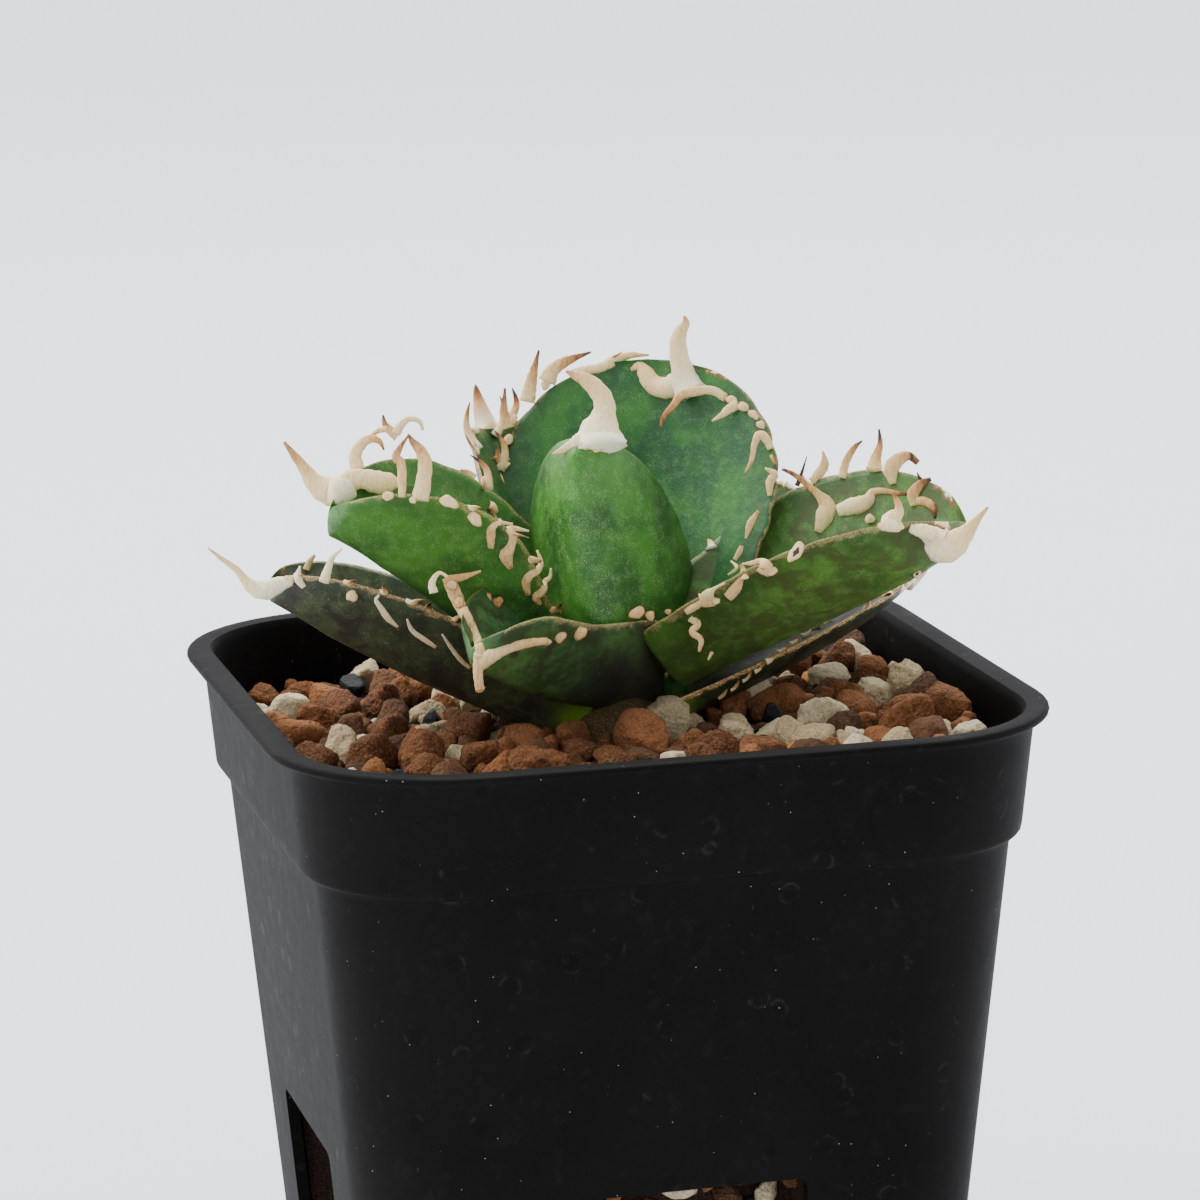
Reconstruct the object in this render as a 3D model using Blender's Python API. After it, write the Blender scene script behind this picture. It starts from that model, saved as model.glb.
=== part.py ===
"""Potted agave: a short, toothed rosette in a 75 mm square nursery pot.

Blender 4.5, metres, +Z up. The origin is the middle of the pot's flat
underside. -Y is the side that faces a viewer, +X is that viewer's right.
The builder functions below think in millimetres and scale once at the end.

What is in it, from the bench up:
  nursery_pot      one thin-walled moulding with a collar, a rolled lip, four
                   drain windows and four small holes in the floor
  substrate_bed    the upper layer of mineral substrate, with the hollow the
                   plant and its roots sit in
  substrate_base   the lower layer, drawn back behind the drain windows
  *_grain_*        the larger loose grains lying on top of the bed
  root_stem        the short stem and its main roots, grown as one piece
  leaf_*           the leaves, each blade with its terminal spine as one piece
"""

import math

import bmesh
import bpy
from mathutils import Vector

MM = 0.001
GAP = 0.3  # clearance between neighbouring solids
GROW = 0.42  # how far a cutter is grown past the solid it stands for

# ---------------------------------------------------------------- pot sizes
POT_HEIGHT = 75.0
LIP_HALF = 38.0
LIP_CORNER = 17.6
LIP_THICK = 0.9
COLLAR_HEIGHT = 12.2
COLLAR_TOP_HALF = 36.2
COLLAR_LOW_HALF = 35.2
COLLAR_CORNER = 14.3
BODY_TOP_HALF = 34.0
BODY_LOW_HALF = 28.4
BODY_CORNER = 12.6
BASE_CORNER = 10.5
WALL = 1.2
FLOOR = 1.5
WINDOW_HALF = 11.0
WINDOW_LOW = 7.0
WINDOW_TOP = 31.7
POCKET_DEPTH = 4.6
FLOOR_HOLE = 5.0
FLOOR_HOLE_AT = 15.0

# ---------------------------------------------------------- substrate sizes
BED_TOP = 68.6
BED_SLOPE = 0.055  # the bed is banked up towards +X
BED_LOW = FLOOR + GAP
LAYER_JOIN = 32.9  # the two layers of substrate meet just above the windows

# Rim level: the leaves are placed from the middle of the pot's mouth.
RIM = POT_HEIGHT

# ------------------------------------------------------------------- leaves
# az      the way the leaf points, degrees from +X towards +Y
# i0, i1  inclination above the horizon at the base and at the tip
# span    length of the blade along its middle; wide is its greatest width
# fold    how far the two halves turn up from the keel, at base and at tip
# roll    turn of the blade about its own length, at base and at tip
# spine   length of the terminal spine; lift and side are how it curves
# foot    where the leaf starts: distance from the middle, and rim height
LEAVES = {
    "leaf_bud": dict(az=60, i0=84, i1=88, span=16, wide=5.0, fold=(60, 60),
                     spine=4.0, lift=10, side=0, foot=(0.0, -2.0), thick=3.6,
                     base=0.8, widest=0.35, at=(2.6, 2.6)),
    "leaf_heart": dict(az=200, i0=77, i1=84, span=24.2, wide=11.6,
                       fold=(42, 50), roll=(-45, -45), spine=8.0, lift=20,
                       side=50, foot=(0.0, 0.0), thick=4.0, base=0.92,
                       widest=0.34, at=(-0.4, -3.2)),
    "leaf_back": dict(az=54, i0=68, i1=80, span=30.5, wide=15.5, fold=(28, 12),
                      spine=6.0, lift=17, side=-20, foot=(4.0, -1.0),
                      widest=0.6),
    "leaf_left_up": dict(az=178, i0=54, i1=22, span=31.2, wide=10.6,
                         fold=(62, 56), roll=(-3, 14), spine=6.5, lift=40,
                         foot=(4.0, -2.8), widest=0.66, near=0.45),
    "leaf_right_up": dict(az=-28, i0=24, i1=24, span=32, wide=11.5,
                          fold=(50, 45), roll=(-14, -14), spine=6.0, lift=35,
                          foot=(5.0, 1.5)),
    "leaf_back_left": dict(az=118, i0=60, i1=58, span=28, wide=10,
                           fold=(35, 30), spine=5.0, lift=20,
                           foot=(4.0, -2.0)),
    "leaf_front": dict(az=214, i0=12, i1=20, span=27.5, wide=10.6,
                       fold=(50, 50), spine=4.0, lift=-60,
                       foot=(-4.5, -2.6), thick=2.5, base=0.76,
                       at=(2.3, 0.0)),
    "leaf_back_right": dict(az=30, i0=32, i1=30, span=30, wide=9,
                            fold=(40, 35), spine=5.0, lift=30,
                            foot=(4.0, -3.0)),
    "leaf_low_left": dict(az=172, i0=24, i1=27, span=33, wide=8.0,
                          fold=(45, 45), spine=6.5, lift=10,
                          foot=(4.0, -5.0), thick=2.5),
    "leaf_low_right": dict(az=15, i0=14, i1=22, span=31, wide=8.0,
                           fold=(20, 20), spine=4.5, lift=20,
                           foot=(4.0, -4.2), thick=2.2),
    "leaf_low_back": dict(az=85, i0=24, i1=24, span=31, wide=9, fold=(35, 30),
                          spine=5.0, lift=20, foot=(4.0, -5.0), thick=2.6),
    "leaf_low_back_left": dict(az=137, i0=26, i1=18, span=26, wide=8.5,
                               fold=(35, 30), spine=4.5, lift=20,
                               foot=(4.0, -4.5), thick=2.6),
}
LEAF_DEFAULTS = dict(roll=(0, 0), near=0.0, thick=3.0, base=0.6, widest=0.58, side=0,
                     at=(1.5, 0.0))
STATIONS = 11
ACROSS = 9
SPINE_RINGS = 5
MARGIN = 0.45  # thickness left at a leaf's edge

# ------------------------------------------------------------ colours (RGB)
COLOURS = {
    "black_plastic": ((0.020, 0.020, 0.023), 0.42),
    "akadama": ((0.30, 0.135, 0.065), 0.95),
    "pumice": ((0.72, 0.66, 0.52), 0.95),
    "orange": ((0.55, 0.25, 0.08), 0.60),
    "charcoal": ((0.018, 0.018, 0.020), 0.80),
    "gravel_mix": ((0.24, 0.13, 0.075), 0.95),
    "stem": ((0.30, 0.26, 0.12), 0.80),
    "leaf_green": ((0.055, 0.16, 0.035), 0.50),
    "leaf_blue_green": ((0.045, 0.15, 0.075), 0.50),
    "leaf_dark": ((0.035, 0.045, 0.030), 0.55),
}

# Loose grains: name, material, x, y, longest side, flatness, seed. All in mm.
GRAINS = [
    ("akadama_grain_01", "akadama", 1.0, -10.5, 7.0, 0.85, 1),
    ("akadama_grain_02", "akadama", 6.5, -16.0, 5.6, 0.85, 2),
    ("akadama_grain_03", "akadama", 26.0, -16.0, 6.4, 0.80, 3),
    ("akadama_grain_04", "akadama", 29.0, 4.5, 5.2, 0.80, 4),
    ("akadama_grain_05", "akadama", 31.5, -12.0, 5.0, 0.85, 5),
    ("akadama_grain_06", "akadama", -20.0, -5.0, 7.0, 0.80, 6),
    ("akadama_grain_07", "akadama", -25.5, 14.5, 6.0, 0.80, 7),
    ("akadama_grain_08", "akadama", -19.0, 18.5, 5.4, 0.80, 8),
    ("akadama_grain_09", "akadama", -10.0, -13.0, 6.4, 0.80, 9),
    ("akadama_grain_10", "akadama", -3.5, -17.0, 6.0, 0.80, 10),
    ("pumice_grain_01", "pumice", 10.5, -11.0, 4.2, 0.85, 11),
    ("pumice_grain_02", "pumice", 20.0, -9.0, 6.0, 0.65, 12),
    ("pumice_grain_03", "pumice", 31.0, -2.0, 5.0, 0.80, 13),
    ("pumice_grain_04", "pumice", 31.0, -19.5, 4.4, 0.75, 14),
    ("pumice_grain_05", "pumice", 15.0, -13.0, 4.4, 0.75, 15),
    ("pumice_grain_06", "pumice", 19.5, -21.0, 5.6, 0.65, 16),
    ("pumice_grain_07", "pumice", -17.0, 6.5, 5.4, 0.75, 17),
    ("pumice_grain_08", "pumice", -26.5, 1.5, 5.0, 0.80, 18),
    ("pumice_grain_09", "pumice", 8.0, 28.0, 5.0, 0.80, 19),
    ("charcoal_chip", "charcoal", 16.0, -4.5, 3.6, 0.85, 21),
    ("orange_grain_01", "orange", 13.5, -18.0, 3.4, 0.85, 22),
    ("orange_grain_02", "orange", 21.5, 1.5, 3.2, 0.85, 23),
]


# ------------------------------------------------------------------ helpers
def clear_scene():
    for obj in list(bpy.data.objects):
        bpy.data.objects.remove(obj, do_unlink=True)
    for mesh in list(bpy.data.meshes):
        bpy.data.meshes.remove(mesh)


def new_collection(name, hidden=False):
    coll = bpy.data.collections.new(name)
    bpy.context.scene.collection.children.link(coll)
    coll.hide_render = hidden
    return coll


def material(name):
    mat = bpy.data.materials.get(name)
    if mat:
        return mat
    rgb, rough = COLOURS[name]
    mat = bpy.data.materials.new(name)
    mat.use_nodes = True
    shader = mat.node_tree.nodes["Principled BSDF"]
    shader.inputs["Base Color"].default_value = (*rgb, 1.0)
    shader.inputs["Roughness"].default_value = rough
    shader.inputs["Metallic"].default_value = 0.0
    mat.diffuse_color = (*rgb, 1.0)
    return mat


def mesh_object(name, verts, faces, coll, mat=None):
    """An object from points in millimetres, with its normals made to face out."""
    mesh = bpy.data.meshes.new(name)
    mesh.from_pydata([Vector(v) * MM for v in verts], [], faces)
    bm = bmesh.new()
    bm.from_mesh(mesh)
    bmesh.ops.recalc_face_normals(bm, faces=bm.faces)
    bm.to_mesh(mesh)
    bm.free()
    obj = bpy.data.objects.new(name, mesh)
    coll.objects.link(obj)
    if mat:
        mesh.materials.append(material(mat))
    return obj


def hide_cutter(obj):
    obj.hide_render = True
    obj.display_type = "WIRE"
    return obj


def grown(obj, name, by, coll):
    """A copy of a solid, pushed out along its normals: the cutter for what lies round it."""
    mesh = obj.data.copy()
    bm = bmesh.new()
    bm.from_mesh(mesh)
    bm.normal_update()
    moves = [(v, v.normal * by * MM * min(v.calc_shell_factor(), 1.8)) for v in bm.verts]
    for v, move in moves:
        v.co += move
    bm.to_mesh(mesh)
    bm.free()
    mesh.name = name
    copy = bpy.data.objects.new(name, mesh)
    copy.matrix_world = obj.matrix_world
    coll.objects.link(copy)
    return hide_cutter(copy)


def boolean(obj, other, operation="DIFFERENCE"):
    mod = obj.modifiers.new(operation.lower(), "BOOLEAN")
    mod.operation = operation
    mod.solver = "MANIFOLD"
    mod.object = other
    return mod


def apply_modifiers(obj):
    bpy.context.view_layer.update()
    graph = bpy.context.evaluated_depsgraph_get()
    made = bpy.data.meshes.new_from_object(obj.evaluated_get(graph))
    obj.modifiers.clear()
    old = obj.data
    obj.data = made
    made.name = old.name
    bpy.data.meshes.remove(old)


def keep_largest(obj):
    """Cutting a leaf by its neighbours can leave crumbs: only the leaf stays."""
    bm = bmesh.new()
    bm.from_mesh(obj.data)
    left = set(bm.faces)
    groups = []
    while left:
        stack = [left.pop()]
        group = set(stack)
        while stack:
            face = stack.pop()
            for edge in face.edges:
                for near in edge.link_faces:
                    if near in left:
                        left.discard(near)
                        group.add(near)
                        stack.append(near)
        groups.append(group)
    groups.sort(key=lambda g: sum(f.calc_area() for f in g), reverse=True)
    gone = [f for g in groups[1:] for f in g]
    bmesh.ops.delete(bm, geom=gone, context="FACES")
    bmesh.ops.triangulate(bm, faces=bm.faces)
    bm.to_mesh(obj.data)
    bm.free()


# ---------------------------------------------------------------------- pot
def rounded_square(half, corner, z, per_corner=6):
    """One ring of a square with round corners, anticlockwise from +X."""
    ring = []
    middle = half - corner
    for quarter in range(4):
        cx = middle * (1 if quarter in (0, 3) else -1)
        cy = middle * (1 if quarter in (0, 1) else -1)
        for step in range(per_corner):
            a = math.radians(90 * quarter + 90 * step / (per_corner - 1))
            ring.append((cx + corner * math.cos(a), cy + corner * math.sin(a), z))
    return ring


def skin(rings, cap_first=True, cap_last=True):
    """Faces between rings of equal count, with flat caps."""
    n = len(rings[0])
    verts = [p for ring in rings for p in ring]
    faces = []
    for j in range(len(rings) - 1):
        for i in range(n):
            k = (i + 1) % n
            faces.append((j * n + i, j * n + k, (j + 1) * n + k, (j + 1) * n + i))
    if cap_first:
        faces.append(tuple(reversed(range(n))))
    if cap_last:
        last = (len(rings) - 1) * n
        faces.append(tuple(last + i for i in range(n)))
    return verts, faces


def box(name, low, high, coll):
    xs, ys, zs = zip(low, high)
    verts = [(xs[i], ys[j], zs[k]) for k in (0, 1) for j in (0, 1) for i in (0, 1)]
    faces = [(0, 2, 3, 1), (4, 5, 7, 6), (0, 1, 5, 4), (2, 6, 7, 3), (0, 4, 6, 2), (1, 3, 7, 5)]
    return hide_cutter(mesh_object(name, verts, faces, coll))


def body_half(z):
    """Half the outer width of the tapered body at a height."""
    top = POT_HEIGHT - COLLAR_HEIGHT
    return BODY_LOW_HALF + (BODY_TOP_HALF - BODY_LOW_HALF) * z / top


def body_corner(z):
    top = POT_HEIGHT - COLLAR_HEIGHT
    return BASE_CORNER + (BODY_CORNER - BASE_CORNER) * z / top


def build_pot(parts, cutters):
    step = POT_HEIGHT - COLLAR_HEIGHT
    lip_low = POT_HEIGHT - LIP_THICK
    outer = [
        rounded_square(body_half(0) - 0.6, body_corner(0) - 0.6, 0.0),
        rounded_square(body_half(0.6), body_corner(0), 0.6),
        rounded_square(body_half(step), body_corner(step), step),
        rounded_square(COLLAR_LOW_HALF - 0.3, COLLAR_CORNER - 0.3, step),
        rounded_square(COLLAR_LOW_HALF, COLLAR_CORNER, step + 0.4),
        rounded_square(COLLAR_TOP_HALF, COLLAR_CORNER, lip_low),
        rounded_square(LIP_HALF - 0.3, LIP_CORNER, lip_low),
        rounded_square(LIP_HALF, LIP_CORNER, lip_low + 0.3),
        rounded_square(LIP_HALF - 0.25, LIP_CORNER - 0.25, POT_HEIGHT),
    ]
    inner = [
        rounded_square(COLLAR_TOP_HALF - WALL + 0.2, COLLAR_CORNER - WALL + 0.6, POT_HEIGHT),
        rounded_square(COLLAR_TOP_HALF - WALL, COLLAR_CORNER - WALL, POT_HEIGHT - 0.6),
        rounded_square(COLLAR_LOW_HALF - WALL, COLLAR_CORNER - WALL, step + WALL),
        rounded_square(body_half(step) - WALL, body_corner(step) - WALL, step),
        rounded_square(body_half(FLOOR) - WALL, body_corner(FLOOR) - WALL, FLOOR),
    ]
    verts, faces = skin(outer + inner)
    pot = mesh_object("nursery_pot", verts, faces, parts, "black_plastic")
    reach = LIP_HALF + 5
    for axis in (0, 1):
        low, high = [-reach] * 2, [reach] * 2
        low[1 - axis], high[1 - axis] = -WINDOW_HALF, WINDOW_HALF
        cutter = box(f"window_cutter_{'xy'[axis]}", (*low, WINDOW_LOW), (*high, WINDOW_TOP), cutters)
        boolean(pot, cutter)
    for k, (sx, sy) in enumerate(((1, 1), (-1, 1), (-1, -1), (1, -1))):
        ring = [
            (
                sx * FLOOR_HOLE_AT + FLOOR_HOLE / 2 * math.cos(math.radians(30 * i)),
                sy * FLOOR_HOLE_AT + FLOOR_HOLE / 2 * math.sin(math.radians(30 * i)),
            )
            for i in range(12)
        ]
        verts, faces = skin([[(x, y, z) for x, y in ring] for z in (-2.0, FLOOR + 2.0)])
        hole = hide_cutter(mesh_object(f"floor_hole_cutter_{k + 1}", verts, faces, cutters))
        boolean(pot, hole)
    apply_modifiers(pot)
    keep_largest(pot)
    return pot


# --------------------------------------------------------------- substrate
def lump(x, y):
    """Low bumps of the packed grains."""
    return (
        0.55 * math.sin(0.71 * x + 0.4) * math.cos(0.63 * y - 0.8)
        + 0.35 * math.sin(1.13 * x - 1.27 * y + 1.1)
        + BED_SLOPE * x
    )


def inner_half(z):
    step = POT_HEIGHT - COLLAR_HEIGHT
    if z >= step + WALL:
        rise = (z - step) / COLLAR_HEIGHT
        return COLLAR_LOW_HALF + (COLLAR_TOP_HALF - COLLAR_LOW_HALF) * rise - WALL
    return body_half(min(z, step)) - WALL


def build_bed(parts):
    step = POT_HEIGHT - COLLAR_HEIGHT
    low = LAYER_JOIN + GAP
    rings = [
        rounded_square(inner_half(low) - GAP, body_corner(low) - WALL - GAP, low),
        rounded_square(inner_half(step - 0.3) - GAP, body_corner(step) - WALL - GAP, step - 0.3),
        rounded_square(inner_half(step - 0.3) - GAP, body_corner(step) - WALL - GAP, step + 1.0),
        rounded_square(inner_half(BED_TOP) - GAP - 0.6, COLLAR_CORNER - WALL - GAP, step + 2.4),
    ]
    edge = rounded_square(inner_half(BED_TOP) - GAP - 0.2, COLLAR_CORNER - WALL - GAP, BED_TOP)
    for scale in (1.0, 0.82, 0.62, 0.40, 0.15):
        rings.append([(x * scale, y * scale, z + lump(x * scale, y * scale)) for x, y, z in edge])
    verts, faces = skin(rings)
    return mesh_object("substrate_bed", verts, faces, parts, "gravel_mix")


def build_base(parts, cutters):
    """The lower layer, with pockets behind the drain windows where grains have washed out."""
    rings = [
        rounded_square(inner_half(z) - GAP, body_corner(z) - WALL - GAP, z)
        for z in (BED_LOW, LAYER_JOIN)
    ]
    verts, faces = skin(rings)
    base = mesh_object("substrate_base", verts, faces, parts, "gravel_mix")
    for axis in (0, 1):
        for sign in (-1, 1):
            low, high = [0, 0], [0, 0]
            low[1 - axis], high[1 - axis] = -WINDOW_HALF - 0.8, WINDOW_HALF + 0.8
            inside = body_half(WINDOW_LOW) - WALL - POCKET_DEPTH
            near, far = sorted((sign * inside, sign * 50))
            low[axis], high[axis] = near, far
            name = f"pocket_cutter_{'xy'[axis]}{'np'[sign > 0]}"
            boolean(base, box(name, (*low, BED_LOW - 2.0), (*high, LAYER_JOIN + 2.0), cutters))
    apply_modifiers(base)
    keep_largest(base)
    return base


def seeded(seed):
    """A small repeatable stream of numbers from 0 to 1."""
    state = [seed * 7919 + 104729]

    def draw():
        state[0] = (state[0] * 1103515245 + 12345) % 2147483648
        return state[0] / 2147483648

    return draw


def build_grain(name, mat, x, y, size, flat, seed, parts):
    """A rounded, knobbly grain lying on the bed."""
    draw = seeded(seed)
    bm = bmesh.new()
    bmesh.ops.create_icosphere(bm, subdivisions=2, radius=1.0)
    turn = draw() * math.tau
    stretch = 0.72 + 0.2 * draw()
    phases = [(draw() * 6, draw() * 6, 2.2 + 1.6 * draw()) for _ in range(3)]
    verts = []
    for v in bm.verts:
        d = v.co.normalized()
        k = 1.0
        for a, b, f in phases:
            k += 0.075 * math.sin(f * d.x + a) * math.cos(f * d.y + b + d.z * f)
        r = size / 2 * k * 0.93
        px, py, pz = d.x * r, d.y * r * stretch, d.z * r * flat
        verts.append((
            x + px * math.cos(turn) - py * math.sin(turn),
            y + px * math.sin(turn) + py * math.cos(turn),
            pz,
        ))
    low = min(p[2] for p in verts)
    rest = BED_TOP + lump(x, y) - low - 0.22 * size
    verts = [(a, b, c + rest) for a, b, c in verts]
    faces = [tuple(v.index for v in f.verts) for f in bm.faces]
    bm.free()
    return mesh_object(name, verts, faces, parts, mat)


# ----------------------------------------------------------- stem and roots
def tube(points, radii, sides=8):
    """A closed tube along points, with a ring at each."""
    rings = []
    for i, p in enumerate(points):
        a = Vector(points[max(i - 1, 0)])
        b = Vector(points[min(i + 1, len(points) - 1)])
        along = (b - a).normalized()
        side = along.cross(Vector((0.31, 0.95, 0.05))).normalized()
        up = side.cross(along)
        rings.append([
            tuple(Vector(p) + radii[i] * (side * math.cos(math.tau * k / sides) + up * math.sin(math.tau * k / sides)))
            for k in range(sides)
        ])
    return skin(rings)


ROOTS = [
    # azimuth, spread, depth
    (20, 13, 20),
    (95, 12, 24),
    (170, 14, 21),
    (245, 12, 25),
    (310, 13, 22),
]


def build_stem(parts, cutters):
    x0, y0 = 1.0, -0.5
    profile = [(1.2, 53.0), (3.0, 56.0), (4.6, 60.0), (5.4, 65.0), (5.2, 69.0), (4.2, 71.4), (2.2, 72.6), (0.5, 73.0)]
    rings = [
        [(x0 + r * math.cos(math.tau * k / 16), y0 + r * math.sin(math.tau * k / 16), z) for k in range(16)]
        for r, z in profile
    ]
    verts, faces = skin(rings)
    stem = mesh_object("root_stem", verts, faces, parts, "stem")
    for n, (az, spread, depth) in enumerate(ROOTS):
        a = math.radians(az)
        pts, radii = [], []
        for i in range(6):
            t = i / 5
            out = 1.0 + spread * t ** 0.8
            wave = 0.9 * math.sin(3.1 * t + n)
            pts.append((
                x0 + out * math.cos(a) - wave * math.sin(a),
                y0 + out * math.sin(a) + wave * math.cos(a),
                62.0 - depth * t ** 1.25,
            ))
            radii.append(1.5 - 0.95 * t)
        verts, faces = tube(pts, radii)
        boolean(stem, hide_cutter(mesh_object(f"root_{n + 1}", verts, faces, cutters)), "UNION")
    apply_modifiers(stem)
    keep_largest(stem)
    return stem


# ------------------------------------------------------------------- leaves
def leaf_width(leaf, t):
    """Width of the blade at t of its length: a clasping base, a broad middle, a blunt end."""
    base, widest = leaf["base"], leaf["widest"]
    if t < widest:
        part = base + (1 - base) * math.sin(t / widest * math.pi / 2) ** 1.2
    else:
        part = math.sqrt(max(0.0, 1 - ((t - widest) / (1.045 - widest)) ** 2))
    return leaf["wide"] * part


def near_half(leaf, t, s):
    """How much of its width the half towards the viewer keeps: it dips near the foot."""
    return 1 - leaf["near"] * math.exp(-(((t - 0.25) / 0.22) ** 2)) if s > 0 else 1.0


def leaf_frames(leaf, count):
    """Points along the middle of a leaf with its length, width and up directions."""
    az = math.radians(leaf["az"])
    r0, z0 = leaf["foot"]
    x0, y0 = leaf["at"]
    p = Vector((x0 + r0 * math.cos(az), y0 + r0 * math.sin(az), RIM + z0))
    frames, fine = [], 8
    for j in range(count):
        t = j / (count - 1)
        i = math.radians(leaf["i0"] + (leaf["i1"] - leaf["i0"]) * t)
        along = Vector((math.cos(i) * math.cos(az), math.cos(i) * math.sin(az), math.sin(i)))
        up = Vector((-math.sin(i) * math.cos(az), -math.sin(i) * math.sin(az), math.cos(i)))
        side = up.cross(along)
        r = math.radians(leaf["roll"][0] + (leaf["roll"][1] - leaf["roll"][0]) * t)
        up, side = up * math.cos(r) + side * math.sin(r), side * math.cos(r) - up * math.sin(r)
        frames.append((t, p.copy(), along, up, side))
        if j < count - 1:
            for k in range(fine):
                u = t + (k + 0.5) / fine / (count - 1)
                i = math.radians(leaf["i0"] + (leaf["i1"] - leaf["i0"]) * u)
                d = Vector((math.cos(i) * math.cos(az), math.cos(i) * math.sin(az), math.sin(i)))
                p += d * leaf["span"] / fine / (count - 1)
    return frames


def build_leaf(name, leaf, parts, mat):
    """Blade and terminal spine in one loft: a ring runs over the top face and back under it."""
    leaf = {**LEAF_DEFAULTS, **leaf}
    frames = leaf_frames(leaf, STATIONS)
    norm = math.sqrt(1.05) - math.sqrt(0.05)
    rings = []
    for t, p, along, up, side in frames:
        wide = leaf_width(leaf, t)
        fold = math.radians(leaf["fold"][0] + (leaf["fold"][1] - leaf["fold"][0]) * t)
        thick = leaf["thick"] * (1 - 0.55 * t) * (1 if t < 0.8 else max(0.35, 1 - (t - 0.8) * 2.6))
        top, under = [], []
        for k in range(ACROSS):
            s = -1 + 2 * k / (ACROSS - 1)
            rise = (math.sqrt(s * s + 0.05) - math.sqrt(0.05)) / norm
            w = wide * near_half(leaf, t, s)
            q = p + side * (w * s * math.cos(fold)) + up * (w * rise * math.sin(fold))
            body = thick * math.sqrt(max(0.0, 1 - abs(s) ** 2.2))
            top.append(q)
            under.append(q - up * (body + MARGIN))
        rings.append([tuple(q) for q in top + under[::-1]])
    t, p, along, up, side = frames[-1]
    lift, lean = math.radians(leaf["lift"]), math.radians(leaf["side"])
    start = p - up * 0.5
    for j in range(SPINE_RINGS):
        u = (j + 1) / SPINE_RINGS
        q = Vector(start)
        for k in range(12):
            w = (k + 0.5) / 12 * u
            q += (
                along * math.cos(lift * w) * math.cos(lean * w)
                + up * math.sin(lift * w)
                + side * math.sin(lean * w)
            ) * leaf["spine"] * u / 12
        radius = 1.25 * (1 - u) ** 0.75 + 0.16
        ring = []
        for k in range(ACROSS):
            a = math.radians(172 - 164 * k / (ACROSS - 1))
            ring.append(tuple(q + side * radius * math.cos(a) + up * radius * math.sin(a) * 0.8))
        for k in range(ACROSS):
            a = math.radians(-8 - 164 * k / (ACROSS - 1))
            ring.append(tuple(q + side * radius * math.cos(a) + up * radius * math.sin(a) * 0.8))
        rings.append(ring)
    verts, faces = skin(rings, cap_first=False, cap_last=False)
    for base in (0, (len(rings) - 1) * ACROSS * 2):
        for k in range(ACROSS - 1):
            faces.append((base + k, base + k + 1, base + 2 * ACROSS - 2 - k, base + 2 * ACROSS - 1 - k))
    return mesh_object(name, verts, faces, parts, mat)


LEAF_MATERIAL = {
    "leaf_back": "leaf_blue_green",
    "leaf_low_left": "leaf_dark",
    "leaf_low_right": "leaf_dark",
}


def main():
    clear_scene()
    parts = new_collection("potted_agave")
    cutters = new_collection("cutters", hidden=True)

    build_pot(parts, cutters)
    build_base(parts, cutters)
    bed = build_bed(parts)
    stem = build_stem(parts, cutters)
    stem_cutter = grown(stem, "stem_cutter", GROW, cutters)

    done = []
    for name, leaf in LEAVES.items():
        obj = build_leaf(name, leaf, parts, LEAF_MATERIAL.get(name, "leaf_green"))
        whole = grown(obj, name + "_cutter", GROW, cutters)
        boolean(obj, stem_cutter)
        for other in done:
            boolean(obj, other)
        apply_modifiers(obj)
        keep_largest(obj)
        done.append(whole)

    boolean(bed, stem_cutter)
    for other in done:
        boolean(bed, other)
    for name, mat, x, y, size, flat, seed in GRAINS:
        grain = build_grain(name, mat, x, y, size, flat, seed, parts)
        for other in done:
            boolean(grain, other)
        apply_modifiers(grain)
        keep_largest(grain)
        boolean(bed, grown(grain, name + "_cutter", GROW, cutters))
    apply_modifiers(bed)
    keep_largest(bed)

    for obj in parts.objects:
        for face in obj.data.polygons:
            face.use_smooth = False
        if not obj.data.materials:
            obj.data.materials.append(material("gravel_mix"))


main()
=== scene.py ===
import math
import random

import bmesh
import bpy
import numpy as np
from mathutils import Matrix, Vector
from mathutils.bvhtree import BVHTree


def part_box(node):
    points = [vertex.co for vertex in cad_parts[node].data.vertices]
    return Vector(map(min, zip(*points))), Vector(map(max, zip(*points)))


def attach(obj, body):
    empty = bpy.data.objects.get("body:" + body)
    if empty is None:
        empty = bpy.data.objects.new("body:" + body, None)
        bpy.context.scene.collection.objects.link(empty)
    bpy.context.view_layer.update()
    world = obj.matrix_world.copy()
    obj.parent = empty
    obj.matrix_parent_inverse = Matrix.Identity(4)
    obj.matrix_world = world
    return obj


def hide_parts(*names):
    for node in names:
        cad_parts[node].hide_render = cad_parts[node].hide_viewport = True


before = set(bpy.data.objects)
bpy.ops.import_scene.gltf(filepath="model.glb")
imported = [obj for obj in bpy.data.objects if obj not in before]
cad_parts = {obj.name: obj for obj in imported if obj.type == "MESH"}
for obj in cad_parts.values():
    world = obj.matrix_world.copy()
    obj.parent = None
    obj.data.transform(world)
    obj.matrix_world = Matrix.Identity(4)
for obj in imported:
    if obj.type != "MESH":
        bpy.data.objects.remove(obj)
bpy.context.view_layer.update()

RIM = 75.0
MM = 0.001

# ------------------------------------------------------------------- camera
# Where the viewer stands, in millimetres from the middle of the pot's underside.
CAM = np.array([-113.08, -427.24, RIM + 101.44])
CAM_AZ, CAM_EL, CAM_ROLL = math.radians(-14.78), math.radians(12.03), math.radians(-0.83)
FOCAL = 4586.25  # in 1200ths of the frame's width
BACK = np.array([math.sin(CAM_AZ) * math.cos(CAM_EL), -math.cos(CAM_AZ) * math.cos(CAM_EL), math.sin(CAM_EL)])
SIDE = np.array([math.cos(CAM_AZ), math.sin(CAM_AZ), 0.0])
UPV = np.cross(BACK, SIDE)
R = math.cos(CAM_ROLL) * SIDE + math.sin(CAM_ROLL) * UPV
U = -math.sin(CAM_ROLL) * SIDE + math.cos(CAM_ROLL) * UPV
F = -BACK

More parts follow.
